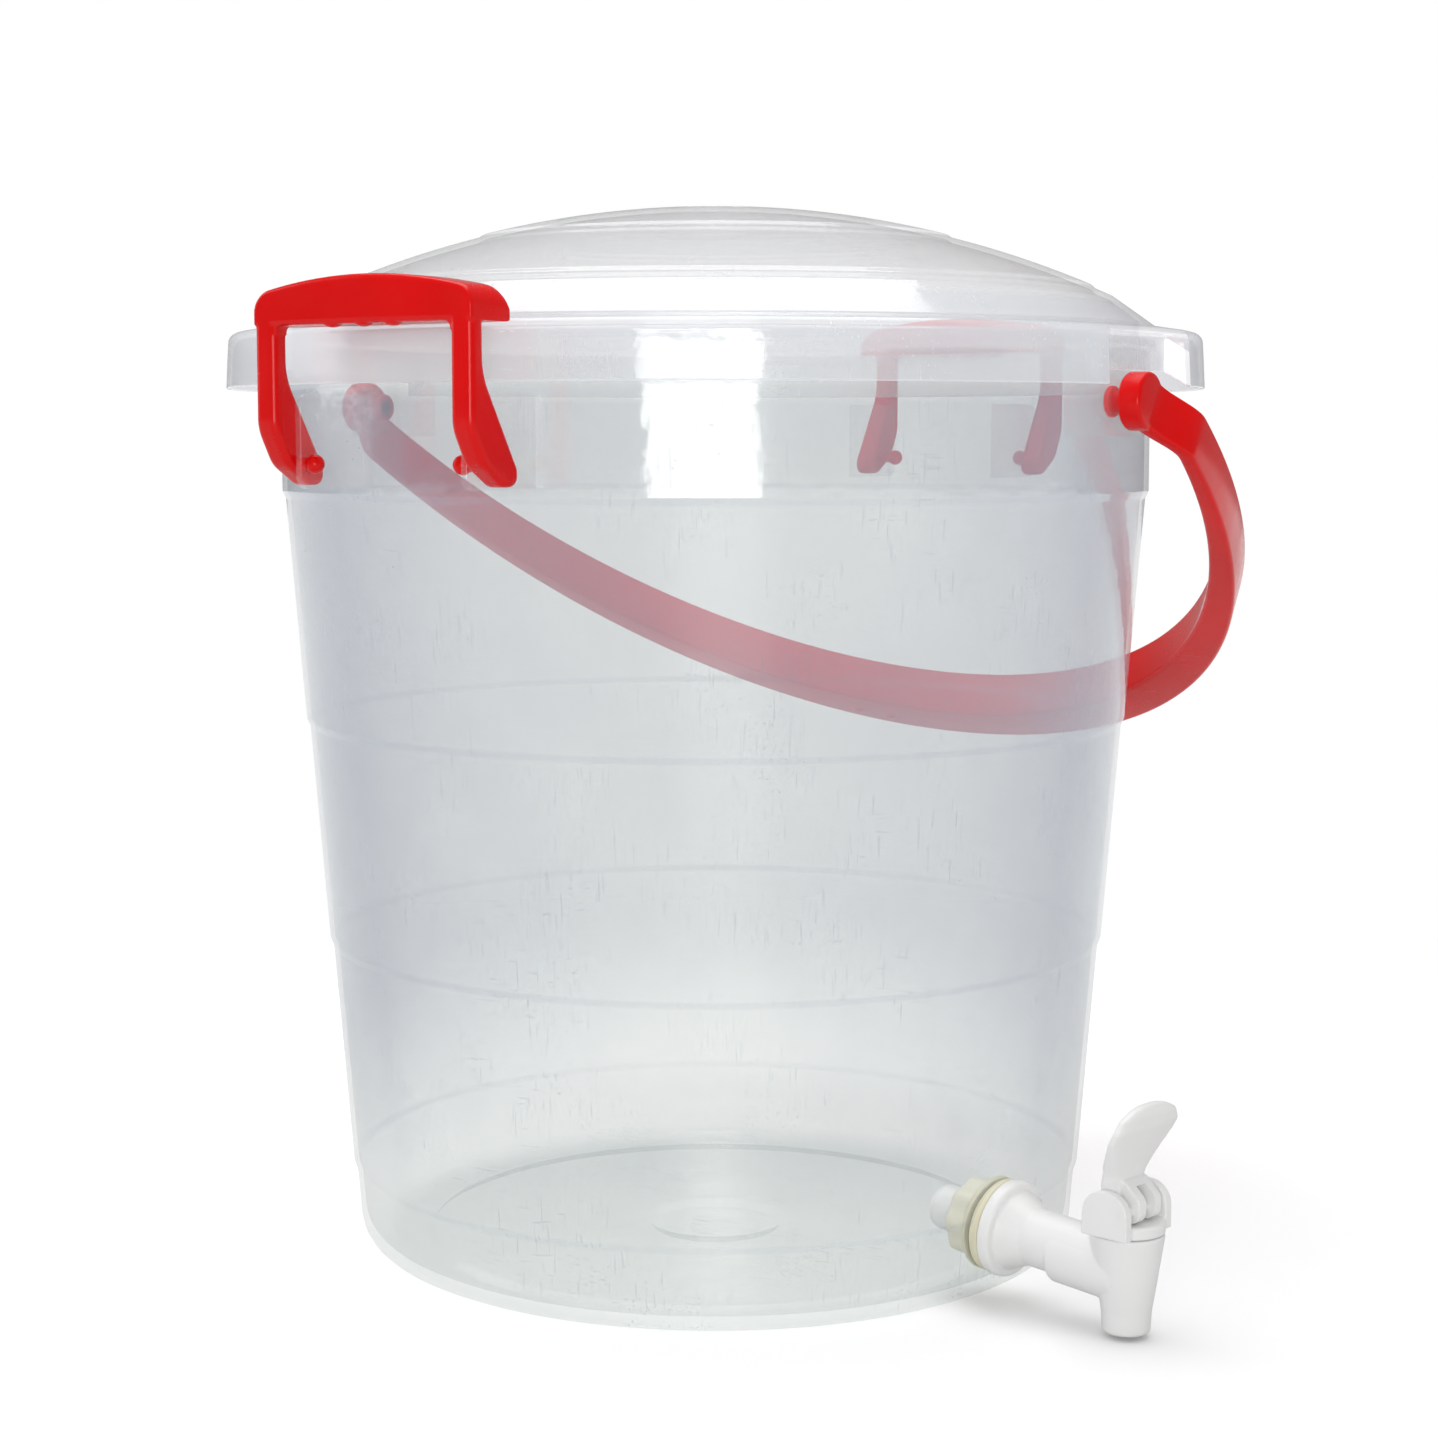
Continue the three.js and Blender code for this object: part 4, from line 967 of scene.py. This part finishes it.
# %% The lid's surface
flat_share = np.clip((SHOULDER_EDGE - recess[:, 0]) / (SHOULDER_EDGE - RECESS_OUTER), 0, 1)[:, None]
beyond_plug = (recess[:, 0, None] > COLLAR) & (recess[:, 1, None] < SHOULDER_TOP)
flat_radius = recess[:, 0, None] * np.where(
    beyond_plug, 1 + flat_share * (1 / np.maximum(np.abs(np.cos(angles))[None], 0.9) - 1), 1)
radius = plain[:, 0, None] * (1 - share) + flat_radius * share
height = plain[:, 1, None] * (1 - share) + recess[:, 1, None] * share
lid_grid = np.stack([radius * np.cos(angles), radius * np.sin(angles), height], axis=-1)
lid = piece_of("lid_shell", [skin(lid_grid)])
dressed(lid, "lid", "lid", clear_lid, 35)

# %% [markdown]
# ## The bail
# The handle is a channel: a web on its lower side and a flange along each edge, which makes a thin strap
# stiff. Its path is a half ellipse, it is deepest at the grip, and near its ends it steps in to meet the
# round end plates. The section's corners all stay square, so a section of any depth and width is a fixed
# one plus depth and width times two fixed arrays, and the whole strap is one sum of arrays.

# %% The strap's section and path
BAIL_HALF, BAIL_LENGTH = 181.4, 234.0  # the half axes of its inner line
CHANNEL_SIDE, CHANNEL_WEB = 2, 3  # the thickness of its two sides and of its web
END_DEPTH, GRIP_DEPTH = 5.2, 20.6
END_WIDTH, GRIP_WIDTH = 17.5, 20
JOG, JOG_START, JOG_LENGTH = 10.2, 1, 23
JOG_DEPTH = 0.95  # what the strap gains in depth where it meets the end plate
MIDDLE = 20.0  # the depth and width of the fixed section


def channel(depth, width):
    """Outline of the channel: across its depth, and up its width."""
    low, high = -width / 2, width / 2
    inner, outer, web = CHANNEL_SIDE, depth - CHANNEL_SIDE, low + CHANNEL_WEB
    return rounded([
        [0, low, 1.7], [depth, low, 1.7], [depth, high, 0.8], [outer, high, 0.7],
        [outer, web, 0.9], [inner, web, 0.9], [inner, high, 0.7], [0, high, 0.7],
    ], 4)


base = channel(MIDDLE, MIDDLE)
per_depth = channel(MIDDLE + 1, MIDDLE) - base
per_width = channel(MIDDLE, MIDDLE + 1) - base
near = np.arcsin(np.linspace(0, JOG_START + JOG_LENGTH, 26) / BAIL_LENGTH)
angle = np.concatenate([near, np.linspace(near[-1], np.pi - near[-1], 190)[1:-1], np.pi - near[::-1]])
along_x, along_y = BAIL_HALF * np.cos(angle), BAIL_LENGTH * np.sin(angle)
near_end_share = 1 - eased((along_y - JOG_START) / JOG_LENGTH)
inner = np.stack([along_x - np.sign(along_x) * JOG * near_end_share, along_y], axis=1)
outward = np.stack([along_x / BAIL_HALF ** 2, along_y / BAIL_LENGTH ** 2], axis=1)
outward /= np.linalg.norm(outward, axis=1, keepdims=True)
depth = END_DEPTH + (GRIP_DEPTH - END_DEPTH) * np.sin(angle) ** 1.5 + JOG_DEPTH * near_end_share
width = END_WIDTH + (GRIP_WIDTH - END_WIDTH) * np.sin(angle) ** 2
deeper, wider = (depth - MIDDLE)[:, None, None], (width - MIDDLE)[:, None, None]
section = base[None] + deeper * per_depth + wider * per_width
strap = np.concatenate([
    inner[:, None] + outward[:, None] * section[:, :, :1], section[:, :, 1:],
], axis=2)
print("strap:", strap.shape, "deepest", round(float(depth.max()), 1), "mm")

# %% Ends, pins and the whole bail
HANGS_BELOW_LEVEL = 32  # degrees
PIN_HEAD = 2.2  # its thickness
NUB_HEIGHT = 9.2  # from the strap's middle
NUB_ANGLES = 0.565 * np.pi + np.array([0.0, 0.075])


def nub(a, depth, height):
    """A moulder's nub that just breaks the strap's surface."""
    place = ((BAIL_HALF + depth) * math.cos(a), (BAIL_LENGTH + depth) * math.sin(a), height)
    return ball(1.6, place, (1.6, 1.2, 1.1))


pin_end = EAR_FACE - WALL - RUNNING
nubs = [nub(a, *place) for a in NUB_ANGLES for place in ((10, NUB_HEIGHT), (13, -NUB_HEIGHT))]
end_parts = [
    rod(END_PLATE_RADIUS, PLATE_INNER, PLATE_INNER + 8.5, 0, 1.4, 64),
    rod(3.6, pin_end - PIN_HEAD, PLATE_INNER + 4, 0, 0.5),
    rod(5.4, pin_end - PIN_HEAD, pin_end, 0, 0.7),
]
bail_shapes = [run(strap), *nubs, *end_parts, *[swung(part, math.pi) for part in end_parts]]
lean = -math.radians(HANGS_BELOW_LEVEL)
turn_down = np.array([[1, 0, 0], [0, math.cos(lean), math.sin(lean)], [0, -math.sin(lean), math.cos(lean)]])
bail = piece_of("bail_handle_strap", [
    (points @ turn_down + np.array([0, 0, AXIS_HEIGHT]), faces) for points, faces in bail_shapes
])
dressed(bail, "bail_handle", "bail", red, 40)

# %% [markdown]
# ## The lid clips
# A clip is one thick red moulding: two legs that bend back to their ball-ended pins, an arched bar across
# the top, and a lip that presses on the lid. Its corners run into each other with small fillets, so its
# parts are worked out as plain closed shapes that overlap, and a fine voxel remesh melts them into one
# skin.


# %% The clip's legs and bar
LEG_DEPTH = 6.8
BAR_DEPTH, BAR_HEIGHT = 19.5, 12
BAR_ENDS, BAR_ARCH = 10.2, 5.2  # its height at the ends, and what the arch adds in the middle
BAR_CORNER = 5.5
PIN_HEAD_RADIUS = 3.2


def clip_leg():
    """The leg's side outline, drawn from the photograph's profile and given the leg's width."""
    reach, pivot = CLIP_PIVOT
    top, back = CLIP_BAR + 5, CLIP_FRONT - LEG_DEPTH
    outline = rounded([
        [CLIP_FRONT, top], [back, top], [back, pivot + 28, 20],
        [reach - 11, pivot - 1.2, 3.2], [reach - 11, pivot - 7, 3.4], [reach - 4, pivot - 7, 6],
        [reach + 6.4, pivot - 0.5, 10], [CLIP_FRONT, pivot + 11, 14],
    ], 10)
    return pillowed(filled(outline, 2), CLIP_OPENING, CLIP_HALF, 2.2, (0, 2, 1))


def clip_bar():
    """Across the clip, sections whose top follows the arch and drops round the corners. In a section the
    back corner is a large arc and the front one a small one."""
    u = CLIP_HALF * np.sin(np.linspace(-np.pi / 2, np.pi / 2, 81))
    past = np.clip(np.abs(u) - (CLIP_HALF - BAR_CORNER), 0, BAR_CORNER)
    dropped = BAR_CORNER - np.sqrt(BAR_CORNER ** 2 - past ** 2)
    crest = BAR_ENDS + BAR_ARCH * (1 - (u / CLIP_HALF) ** 2) - dropped
    back = CLIP_FRONT - BAR_DEPTH
    reference = rounded([
        [back, 0, 1.2], [CLIP_FRONT, 0, 1.2], [CLIP_FRONT, BAR_HEIGHT, 1.8], [back, BAR_HEIGHT, 5.5],
    ], 10)
    z = CLIP_BAR + reference[:, 1] / BAR_HEIGHT * np.maximum(crest, 0.6)[:, None]
    x = np.broadcast_to(reference[:, 0], z.shape)
    return run(np.stack([x, np.broadcast_to(u[:, None], z.shape), z], axis=-1))


# %% The clip's pins, lip and bumps
FILLET = 2.8
LIP_HALF, LIP_REACH, LIP_WALL = 28, 16, 4
BUMP_SQUASH = (2.4, 3.2, 1.3)


def clip_arm():
    """A leg with its corner fillet under the bar and its ball-ended pin."""
    reach, pivot = CLIP_PIVOT
    side, past = CLIP_OPENING, CLIP_OPENING + 0.6
    window = rounded([
        [past, CLIP_BAR - FILLET], [side, CLIP_BAR - FILLET], [side, CLIP_BAR, FILLET - 0.2],
        [side - FILLET, CLIP_BAR], [side - FILLET, CLIP_BAR + 1], [past, CLIP_BAR + 1],
    ])
    fillet = plate(window, CLIP_FRONT - LEG_DEPTH + 0.6, CLIP_FRONT - 0.6, (1, 2, 0))
    tip = CLIP_OPENING - 5.3
    pin = moved(rod(2.2, tip, CLIP_OPENING + 2, 1), reach, 0, pivot)
    return [clip_leg(), fillet, pin, ball(PIN_HEAD_RADIUS, (reach, tip, pivot))]


def clip_shapes():
    """The bar, a lip that clears the lid's sloping shoulder, three bumps, and an arm on each side."""
    tip = SKIRT_RADIUS - 10
    shoulder_edge = SKIRT_RADIUS - 1.1
    shoulder_slope = SHOULDER_RISE / (shoulder_edge - DOME_FOOT)
    lip_low = SHOULDER_TOP + shoulder_slope * (shoulder_edge - tip) + RUNNING
    lip = plate(rounded([
        [tip, -LIP_HALF, 3], [tip + LIP_REACH, -LIP_HALF], [tip + LIP_REACH, LIP_HALF], [tip, LIP_HALF, 3],
    ], 6), lip_low, lip_low + LIP_WALL)
    bumps = [ball(1, (CLIP_FRONT - 2.6, u, CLIP_BAR + 0.2), BUMP_SQUASH) for u in (-13, 0, 12)]
    arm = clip_arm()
    return [clip_bar(), lip, *bumps, *arm, *[mirrored(shape) for shape in arm]]


# %% Front and back clips
for name, node, body, turn in (
    ("front_clip", "clip_front", "front_clip", -math.pi / 2),
    ("back_clip", "clip_back", "back_clip", math.pi / 2),
):
    clip = piece_of(name + "_moulding", [swung(shape, turn) for shape in clip_shapes()])
    softened(clip, 0.45, 4)
    dressed(clip, node, body, red, 60)

# %% [markdown]
# ## The tap
# A moulded bottling tap: a shank with a flange, then a hub and a barrel that meet an upright tower.
# The tower is turned, the lying parts are turned too and then laid along the barrel, and the same remesh
# melts them into one white moulding with small fillets where they meet.


# %% Placing parts on the tap's leaning axis
def seated(shape):
    """From the wall's outer face outwards, square to the leaning wall."""
    return moved(tilted(shape, math.atan(TAPER)), TAP_WALL, 0, TAP_HEIGHT)


def lying(rows, sides=96, steps=5):
    """A closed outline of place along the barrel and radius, turned about the barrel's axis."""
    vertices, faces = turned(rounded([[row[1], row[0], *row[2:]] for row in rows], steps), sides)
    return np.roll(vertices, 1, axis=1)[:, [0, 2, 1]], faces


def on_tap(shapes):
    """Shapes turned about the bucket's axis to where the tap stands."""
    return [swung(shape, TAP_TURN) for shape in shapes]


# %% The tap's body
SHANK_END, SHANK_LEAD = -26, 1.6
SHANK_BORE, SHANK_TIP = 6, 7.4
FLANGE_RADIUS, FLANGE_WALL = 17, 4.8
FLANGE_BACK = WASHER + GAP
FLANGE_FRONT = FLANGE_BACK + FLANGE_WALL
HUB_RADIUS, HUB_LENGTH = 13.9, 8.4
BARREL_RADIUS = 10.2
CHAMBER_START, CHAMBER_RADIUS, CHAMBER_DROP = 26.5, 11, 1.6
SPOUT_END, SPOUT_RADIUS, SPOUT_BORE = 1.5, 8.2, 5.8
TOWER_TOP, TOWER_RADIUS = 36, 12.8

into_flange = FLANGE_FRONT - 1
shank = lying([
    [SHANK_END, SHANK_BORE, 0.4], [SHANK_END, SHANK_TIP, 0.5], [SHANK_END + SHANK_LEAD, SHANK_TIP],
    [SHANK_END + SHANK_LEAD, SHANK_RADIUS, 0.3], [into_flange, SHANK_RADIUS], [into_flange, SHANK_BORE],
])
flange = lying([[FLANGE_BACK, 0], [FLANGE_BACK, FLANGE_RADIUS, 0.8], [FLANGE_FRONT, FLANGE_RADIUS, 1.6],
                [FLANGE_FRONT, 0]])
hub_and_barrel = lying([
    [into_flange, 0], [into_flange, HUB_RADIUS + 0.7], [FLANGE_FRONT, HUB_RADIUS, 0.6],
    [FLANGE_FRONT + HUB_LENGTH, BARREL_RADIUS, 2], [TAP_REACH, BARREL_RADIUS], [TAP_REACH, 0],
])
chamber = lying([[CHAMBER_START, 0], [CHAMBER_START, CHAMBER_RADIUS, 1.5], [TAP_REACH, CHAMBER_RADIUS],
                 [TAP_REACH, 0]])
barrel_parts = [shank, flange, hub_and_barrel, moved(chamber, 0, 0, -CHAMBER_DROP)]
tower = turned(rounded([
    [SPOUT_BORE, SPOUT_END, 0.6], [SPOUT_RADIUS, SPOUT_END, 1.4], [8.6, 9, 6], [10.2, 19, 12],
    [TOWER_RADIUS, TOWER_TOP, 0.6], [0, TOWER_TOP], [0, 12.5], [SPOUT_BORE, 12.5],
], 8), 96)
tap = piece_of("tap_moulding", on_tap([*[seated(part) for part in barrel_parts], moved(tower, VALVE_AXIS)]))
softened(tap, 0.42, 3)
dressed(tap, "tap_body", "bucket", white, 60)

# %% [markdown]
# The seals and the nut clamp the wall. The soft washers are moulded to it: on their wall side each point
# is held to the wall's curve, which falls away by the square of the distance from the tap's middle over
# twice the wall's radius.


# %% The washers
RING_BORE = SHANK_RADIUS + 0.4
WASHER_RADIUS = 16.5
PRESSED = 0.1  # how close a pressed washer lies to the wall


def washer(low, high, wall_side):
    """A thick ring with rounded rims, its wall side pressed onto the wall's curve."""
    shape = lying([[low, RING_BORE, 0.3], [low, WASHER_RADIUS, 0.8], [high, WASHER_RADIUS, 0.8],
                   [high, RING_BORE, 0.3]], 96)
    points = shape[0].copy()
    curve = -points[:, 1] ** 2 / (2 * TAP_WALL)
    if wall_side == "outer":
        points[:, 0] = np.maximum(points[:, 0], curve + PRESSED)
    else:
        points[:, 0] = np.minimum(points[:, 0], curve - WALL - PRESSED)
    return points, shape[1]


outer_washer = piece_of("outer_seal", on_tap([seated(washer(-1.5, WASHER, "outer"))]))
dressed(outer_washer, "tap_outer_washer", "bucket", seal, 40)
inner_ring = washer(-WALL - GAP - WASHER, -WALL - PRESSED, "inner")
inner_washer = piece_of("inner_seal", on_tap([seated(inner_ring)]))
dressed(inner_washer, "tap_inner_washer", "bucket", seal, 40)

# %% The lock nut
NUT_FRONT = -WALL - GAP - WASHER - GAP
NUT_RADIUS, NUT_LENGTH = 13.4, 9.5
LOBES, LOBE_SHARE = 8, 0.045


def lock_nut():
    """A ring whose rim swells into eight soft lobes: the radius is a mean plus a cosine of eight turns."""
    back = NUT_FRONT - NUT_LENGTH
    shape = lying([[back, RING_BORE, 0.3], [back, NUT_RADIUS, 1.4], [NUT_FRONT, NUT_RADIUS, 1.4],
                   [NUT_FRONT, RING_BORE, 0.3]], 160)
    points = shape[0].copy()
    radius = np.hypot(points[:, 1], points[:, 2])
    turn = np.arctan2(points[:, 2], points[:, 1])
    lobes = 1 + LOBE_SHARE * np.cos(LOBES * turn) * np.clip((radius - 10) / 3, 0, 1)
    points[:, 1:] *= lobes[:, None]
    return points, shape[1]


nut = piece_of("shank_nut", on_tap([seated(lock_nut())]))
dressed(nut, "tap_lock_nut", "bucket", cream, 40)

# %% [markdown]
# ## Bonnet and lever
# The bonnet closes the tower with a round deck and two rounded cheeks, and the lever's foot turns between
# them. The lever widens upwards into a curved paddle: eleven listed sections give its lean, width and
# thickness, and a smooth curve through them gives the rest.

# %% The bonnet
DECK_LOW = TOWER_TOP + GAP
DECK_TOP = DECK_LOW + 4.1
DECK_RADIUS, PLUG_IN_TOWER, PLUG_END = 12.7, 10.1, 31.5
CHEEK_FRONT, CHEEK_BACK, CHEEK_HEIGHT = 8.6, -9.4, 11.6
CHEEK_INNER, CHEEK_OUTER = 10, 13.5
PIVOT = (VALVE_AXIS + 5, DECK_TOP + 4.6)

deck = turned(rounded([
    [0, PLUG_END], [PLUG_IN_TOWER, PLUG_END], [PLUG_IN_TOWER, DECK_LOW], [DECK_RADIUS, DECK_LOW, 0.5],
    [DECK_RADIUS, DECK_TOP, 1.1], [0, DECK_TOP],
]), 96)
cheek_top = DECK_TOP + CHEEK_HEIGHT
cheek = plate(filled(rounded([
    [CHEEK_BACK, DECK_LOW], [CHEEK_FRONT, DECK_LOW],
    [CHEEK_FRONT, cheek_top, 8], [CHEEK_BACK, cheek_top, 8],
], 10), 2), CHEEK_INNER, CHEEK_OUTER, (0, 2, 1))
bonnet_parts = [moved(part, VALVE_AXIS) for part in (deck, cheek, mirrored(cheek))]
bonnet = piece_of("bonnet_moulding", on_tap(bonnet_parts))
softened(bonnet, 0.36, 3)
dressed(bonnet, "tap_bonnet", "bucket", white, 60)
pin_bar = rod(1.6, -CHEEK_OUTER, CHEEK_OUTER, 1, 0.5)
pin = piece_of("lever_pin", on_tap([moved(pin_bar, PIVOT[0], 0, PIVOT[1])]))
dressed(pin, "tap_pivot_pin", "bucket", white, 40)

# %% The lever's paddle
PADDLE_LEAN, PADDLE_THICKNESS, PADDLE_WIDTH, PADDLE_HEIGHT = 7.6, 4.5, 18.2, 36.5
PADDLE_SQUARENESS = 0.62  # 1 is an ellipse, less is squarer
# Each row has shares of the height, the lean, the width and the thickness
PADDLE_SHARES = np.array([
    [0.01, -0.28, 0.49, 1], [0.22, -0.34, 0.49, 0.94], [0.32, -0.21, 0.54, 0.87], [0.42, -0.03, 0.68, 0.78],
    [0.53, 0.24, 0.81, 0.67], [0.68, 0.62, 0.98, 0.56], [0.78, 0.88, 1, 0.51], [0.9, 0.99, 0.85, 0.47],
    [0.965, 1, 0.55, 0.4], [0.992, 1, 0.3, 0.3], [1, 1, 0.05, 0.1],
])


def paddle():
    """At each height a squared oval: its lean, width and thickness are smoothed shares of the paddle's
    sizes."""
    raw = np.linspace(0, 1, len(PADDLE_SHARES))
    fine = np.linspace(0, 1, 90)
    rows = np.stack([np.interp(fine, raw, PADDLE_SHARES[:, column]) for column in range(4)], axis=1)
    for _ in range(3):
        rows[1:-1] = rows[1:-1] * 0.5 + (rows[:-2] + rows[2:]) * 0.25
    turn = np.linspace(0, 2 * np.pi, 64, endpoint=False)
    around = np.stack([np.cos(turn), np.sin(turn)])
    across, along = np.sign(around) * np.abs(around) ** PADDLE_SQUARENESS
    x = VALVE_AXIS + rows[:, 1, None] * PADDLE_LEAN + across * rows[:, 3, None] * PADDLE_THICKNESS
    y = along * rows[:, 2, None] * PADDLE_WIDTH
    z = np.broadcast_to(PIVOT[1] + rows[:, 0, None] * PADDLE_HEIGHT, x.shape)
    return run(np.stack([x, y, z], axis=-1))


# %% The lever's foot, its slot and its crank
FOOT_HALF, SLOT_HALF = 6.5, 2.6
CRANK_REACH = 4.5
reach, height = PIVOT
foot = plate(filled(rounded([
    [reach - 4.5, height - 4.1, 1.6], [reach + 4.1, height - 4.1, 4], [reach + 4.1, height + 4.1, 4],
    [reach - 2, height + 10], [reach - 11, height + 10], [reach - 11, height + 2, 2],
], 8), 2), -FOOT_HALF, FOOT_HALF, (0, 2, 1))
slot_back, slot_front = reach - 16, reach + 9.1  # past the foot on both sides
slot_foot, slot_top = height - 9.1, height + 8
slot = plate(np.array([
    [slot_back, slot_foot], [slot_front, slot_foot], [slot_front, slot_top], [slot_back, slot_top],
]), -SLOT_HALF, SLOT_HALF, (0, 2, 1))
lever = piece_of("lever_moulding", on_tap([paddle(), foot]))
softened(lever, 0.38, 3)
cut(lever, on_tap([slot]))
crank_bar = rod(1.3, -SLOT_HALF - 0.3, SLOT_HALF + 0.3, 1, 0.2)
crank = piece_of("lever_crank", on_tap([moved(crank_bar, reach - CRANK_REACH, 0, height)]))
dressed(lever, "tap_lever", "lever", white, 40)
dressed(crank, "tap_lever", "lever", white, 40)

# %% [markdown]
# ## Stem and seat cup
# Inside the tower a stem carries a soft cup that closes the seat. Only the stem's hooked head shows,
# between the cheeks. A hook is a flat outline with thickness and bevelled edges; the rest is turned.

# %% Stem and cup
HOOK_LENGTH, HOOK_HEIGHT, HOOK_HALF = 6, 8.3, 2.2
CRANK_SLOT = 3.8  # the height of the hook's slot for the crank
HOOK_WALL = 1.8
STEM_RADIUS = 2
CUP_HEIGHT, CUP_SOCKET, CUP_LIP = 6.3, 3.7, 7

low, back = DECK_TOP + 0.6, VALVE_AXIS - HOOK_LENGTH / 2
top, front = low + HOOK_HEIGHT, back + HOOK_LENGTH
slot_low = height - CRANK_SLOT / 2
slot_high, slot_end = slot_low + CRANK_SLOT, back + HOOK_WALL
hook = plate(rounded([
    [back, low], [front, low], [front, slot_low, 0.4], [slot_end, slot_low, 0.6],
    [slot_end, slot_high, 0.6], [front, slot_high, 0.4], [front, top, 1], [back, top, 1],
]), -HOOK_HALF, HOOK_HALF, (0, 2, 1))
cup_low = 16 + GAP
cup_top = cup_low + CUP_HEIGHT
socket_floor = cup_top - CUP_SOCKET
stem_rod = moved(rod(STEM_RADIUS, socket_floor + GAP, low + 0.3), VALVE_AXIS)
stem = piece_of("stem_moulding", on_tap([hook, stem_rod]))
bevelled(stem, 0.35)
dressed(stem, "tap_stem", "stem", white, 40)
cup = turned(rounded([
    [0, cup_low + 1], [CUP_LIP - 2, cup_low + 1, 0.4], [CUP_LIP - 1, cup_low, 0.3], [CUP_LIP, cup_low, 0.4],
    [CUP_LIP, cup_low + 1.9, 1], [4.4, cup_top, 0.5], [STEM_RADIUS + GAP, cup_top, 0.3],
    [STEM_RADIUS + GAP, socket_floor], [0, socket_floor],
]), 64)
cup = piece_of("seat_cup", on_tap([moved(cup, VALVE_AXIS)]))
dressed(cup, "tap_seat_cup", "stem", seal, 40)

# %% [markdown]
# ## Floor, lamps and background
# The object stands on a plain white floor under soft studio light. A wide soft box behind the camera
# gives the long bright patches on the collar and the lid's skirt. The background is full white to the
# camera and to what milky plastic lets through. It lights the rest a little over half as much, and shows
# fainter still in what shines, so that the plastic keeps its shading. The floor fades into it with a glow
# that lights nothing.


# %% Floor
FLOOR_HALF = 6
FLOOR_DROP = 0.0002  # so that the floor and the bucket's foot aren't in one plane
FADE_START, FADE_END = 0.3, 0.75  # the distances between which the floor turns into the white background
FLOOR_GLOW = 0.12
FLOOR_TO_CAMERA, FLOOR_TO_LIGHT = (0.9, 0.9, 0.9), (0.6, 0.6, 0.6)

corners = [(-FLOOR_HALF, -FLOOR_HALF, 0), (FLOOR_HALF, -FLOOR_HALF, 0), (FLOOR_HALF, FLOOR_HALF, 0),
           (-FLOOR_HALF, FLOOR_HALF, 0)]
floor_mesh = bpy.data.meshes.new("floor")
floor_mesh.from_pydata(corners, [], [(0, 1, 2, 3)])
floor = bpy.data.objects.new("floor", floor_mesh)
floor.location.z = -FLOOR_DROP
bpy.context.scene.collection.objects.link(floor)
ground = bpy.data.materials.new("pale_floor")
ground.use_nodes = True
ground_shader = ground.node_tree.nodes["Principled BSDF"]
ground_shader.inputs["Roughness"].default_value = 0.8
path = ground.node_tree.nodes.new("ShaderNodeLightPath")
ground_shader.inputs["Emission Color"].default_value = (1, 1, 1, 1)
tree = ground.node_tree
away = node_in(tree, "ShaderNodeVectorMath", operation="LENGTH")
tree.links.new(tree.nodes.new("ShaderNodeTexCoord").outputs["Object"], away.inputs[0])
far = remapped(tree, away.outputs["Value"], FADE_START, FADE_END)
seen = maths(tree, "MAXIMUM", path.outputs["Is Camera Ray"], path.outputs["Is Glossy Ray"])
lit = maths(tree, "SUBTRACT", 1.0, maths(tree, "MULTIPLY", far, seen))
near = tinted(tree, path.outputs["Is Camera Ray"], FLOOR_TO_LIGHT, FLOOR_TO_CAMERA)
shade = tinted(tree, maths(tree, "SUBTRACT", 1.0, lit), near, (0, 0, 0))
tree.links.new(shade, ground_shader.inputs["Base Color"])
glow = maths(tree, "ADD", maths(tree, "MULTIPLY", far, 1 - FLOOR_GLOW), FLOOR_GLOW)
tree.links.new(maths(tree, "MULTIPLY", glow, seen), ground_shader.inputs["Emission Strength"])
ground_shader.inputs["Specular IOR Level"].default_value = 0.0
floor_mesh.materials.append(ground)

# %% World
AMBIENT, MIRRORED_LESS = 0.6, 0.3
world = bpy.data.worlds.new("studio")
bpy.context.scene.world = world
world.use_nodes = True
tree = world.node_tree
path = tree.nodes.new("ShaderNodeLightPath")
seen = maths(tree, "MAXIMUM", path.outputs["Is Camera Ray"], path.outputs["Is Transmission Ray"])
background = tree.nodes["Background"]
background.inputs["Color"].default_value = (1, 1, 1, 1)
less = maths(tree, "MULTIPLY", path.outputs["Is Glossy Ray"], MIRRORED_LESS)
ambient = maths(tree, "SUBTRACT", AMBIENT, less)
tree.links.new(maths(tree, "MAXIMUM", seen, ambient), background.inputs["Strength"])


# %% Lamps
def soft_box(name, place, aim, width, height, power):
    """A rectangular lamp whose face points at a spot."""
    data = bpy.data.lights.new(name, "AREA")
    data.shape = "RECTANGLE"
    data.size, data.size_y = width, height
    data.energy = power
    lamp = bpy.data.objects.new(name, data)
    forward = np.array(aim, dtype=float) - np.array(place, dtype=float)
    forward /= np.linalg.norm(forward)
    right = np.cross(forward, (0, 0, 1))
    right /= np.linalg.norm(right)
    up = np.cross(right, forward)
    turned_to = Matrix(np.stack([right, up, -forward], axis=1).tolist()).to_4x4()
    turned_to.translation = place
    lamp.matrix_world = turned_to
    bpy.context.scene.collection.objects.link(lamp)
    return lamp


soft_box("key_box", (1.02, -1.72, 0.36), aim=(0, 0, 0.28), width=0.96, height=0.62, power=11)
soft_box("top_box", (-0.3, 0.3, 2.2), aim=(0, 0, 0.2), width=1.8, height=1.8, power=28)
soft_box("left_box", (-1.9, -0.6, 1.0), aim=(0, 0, 0.2), width=1.2, height=1.4, power=8)
glint = soft_box(
    "floor_glint", (-0.834, 1.2465, 0.449), aim=(0, 0, 0.005), width=0.05, height=0.1, power=0.06)
glint.visible_camera = False
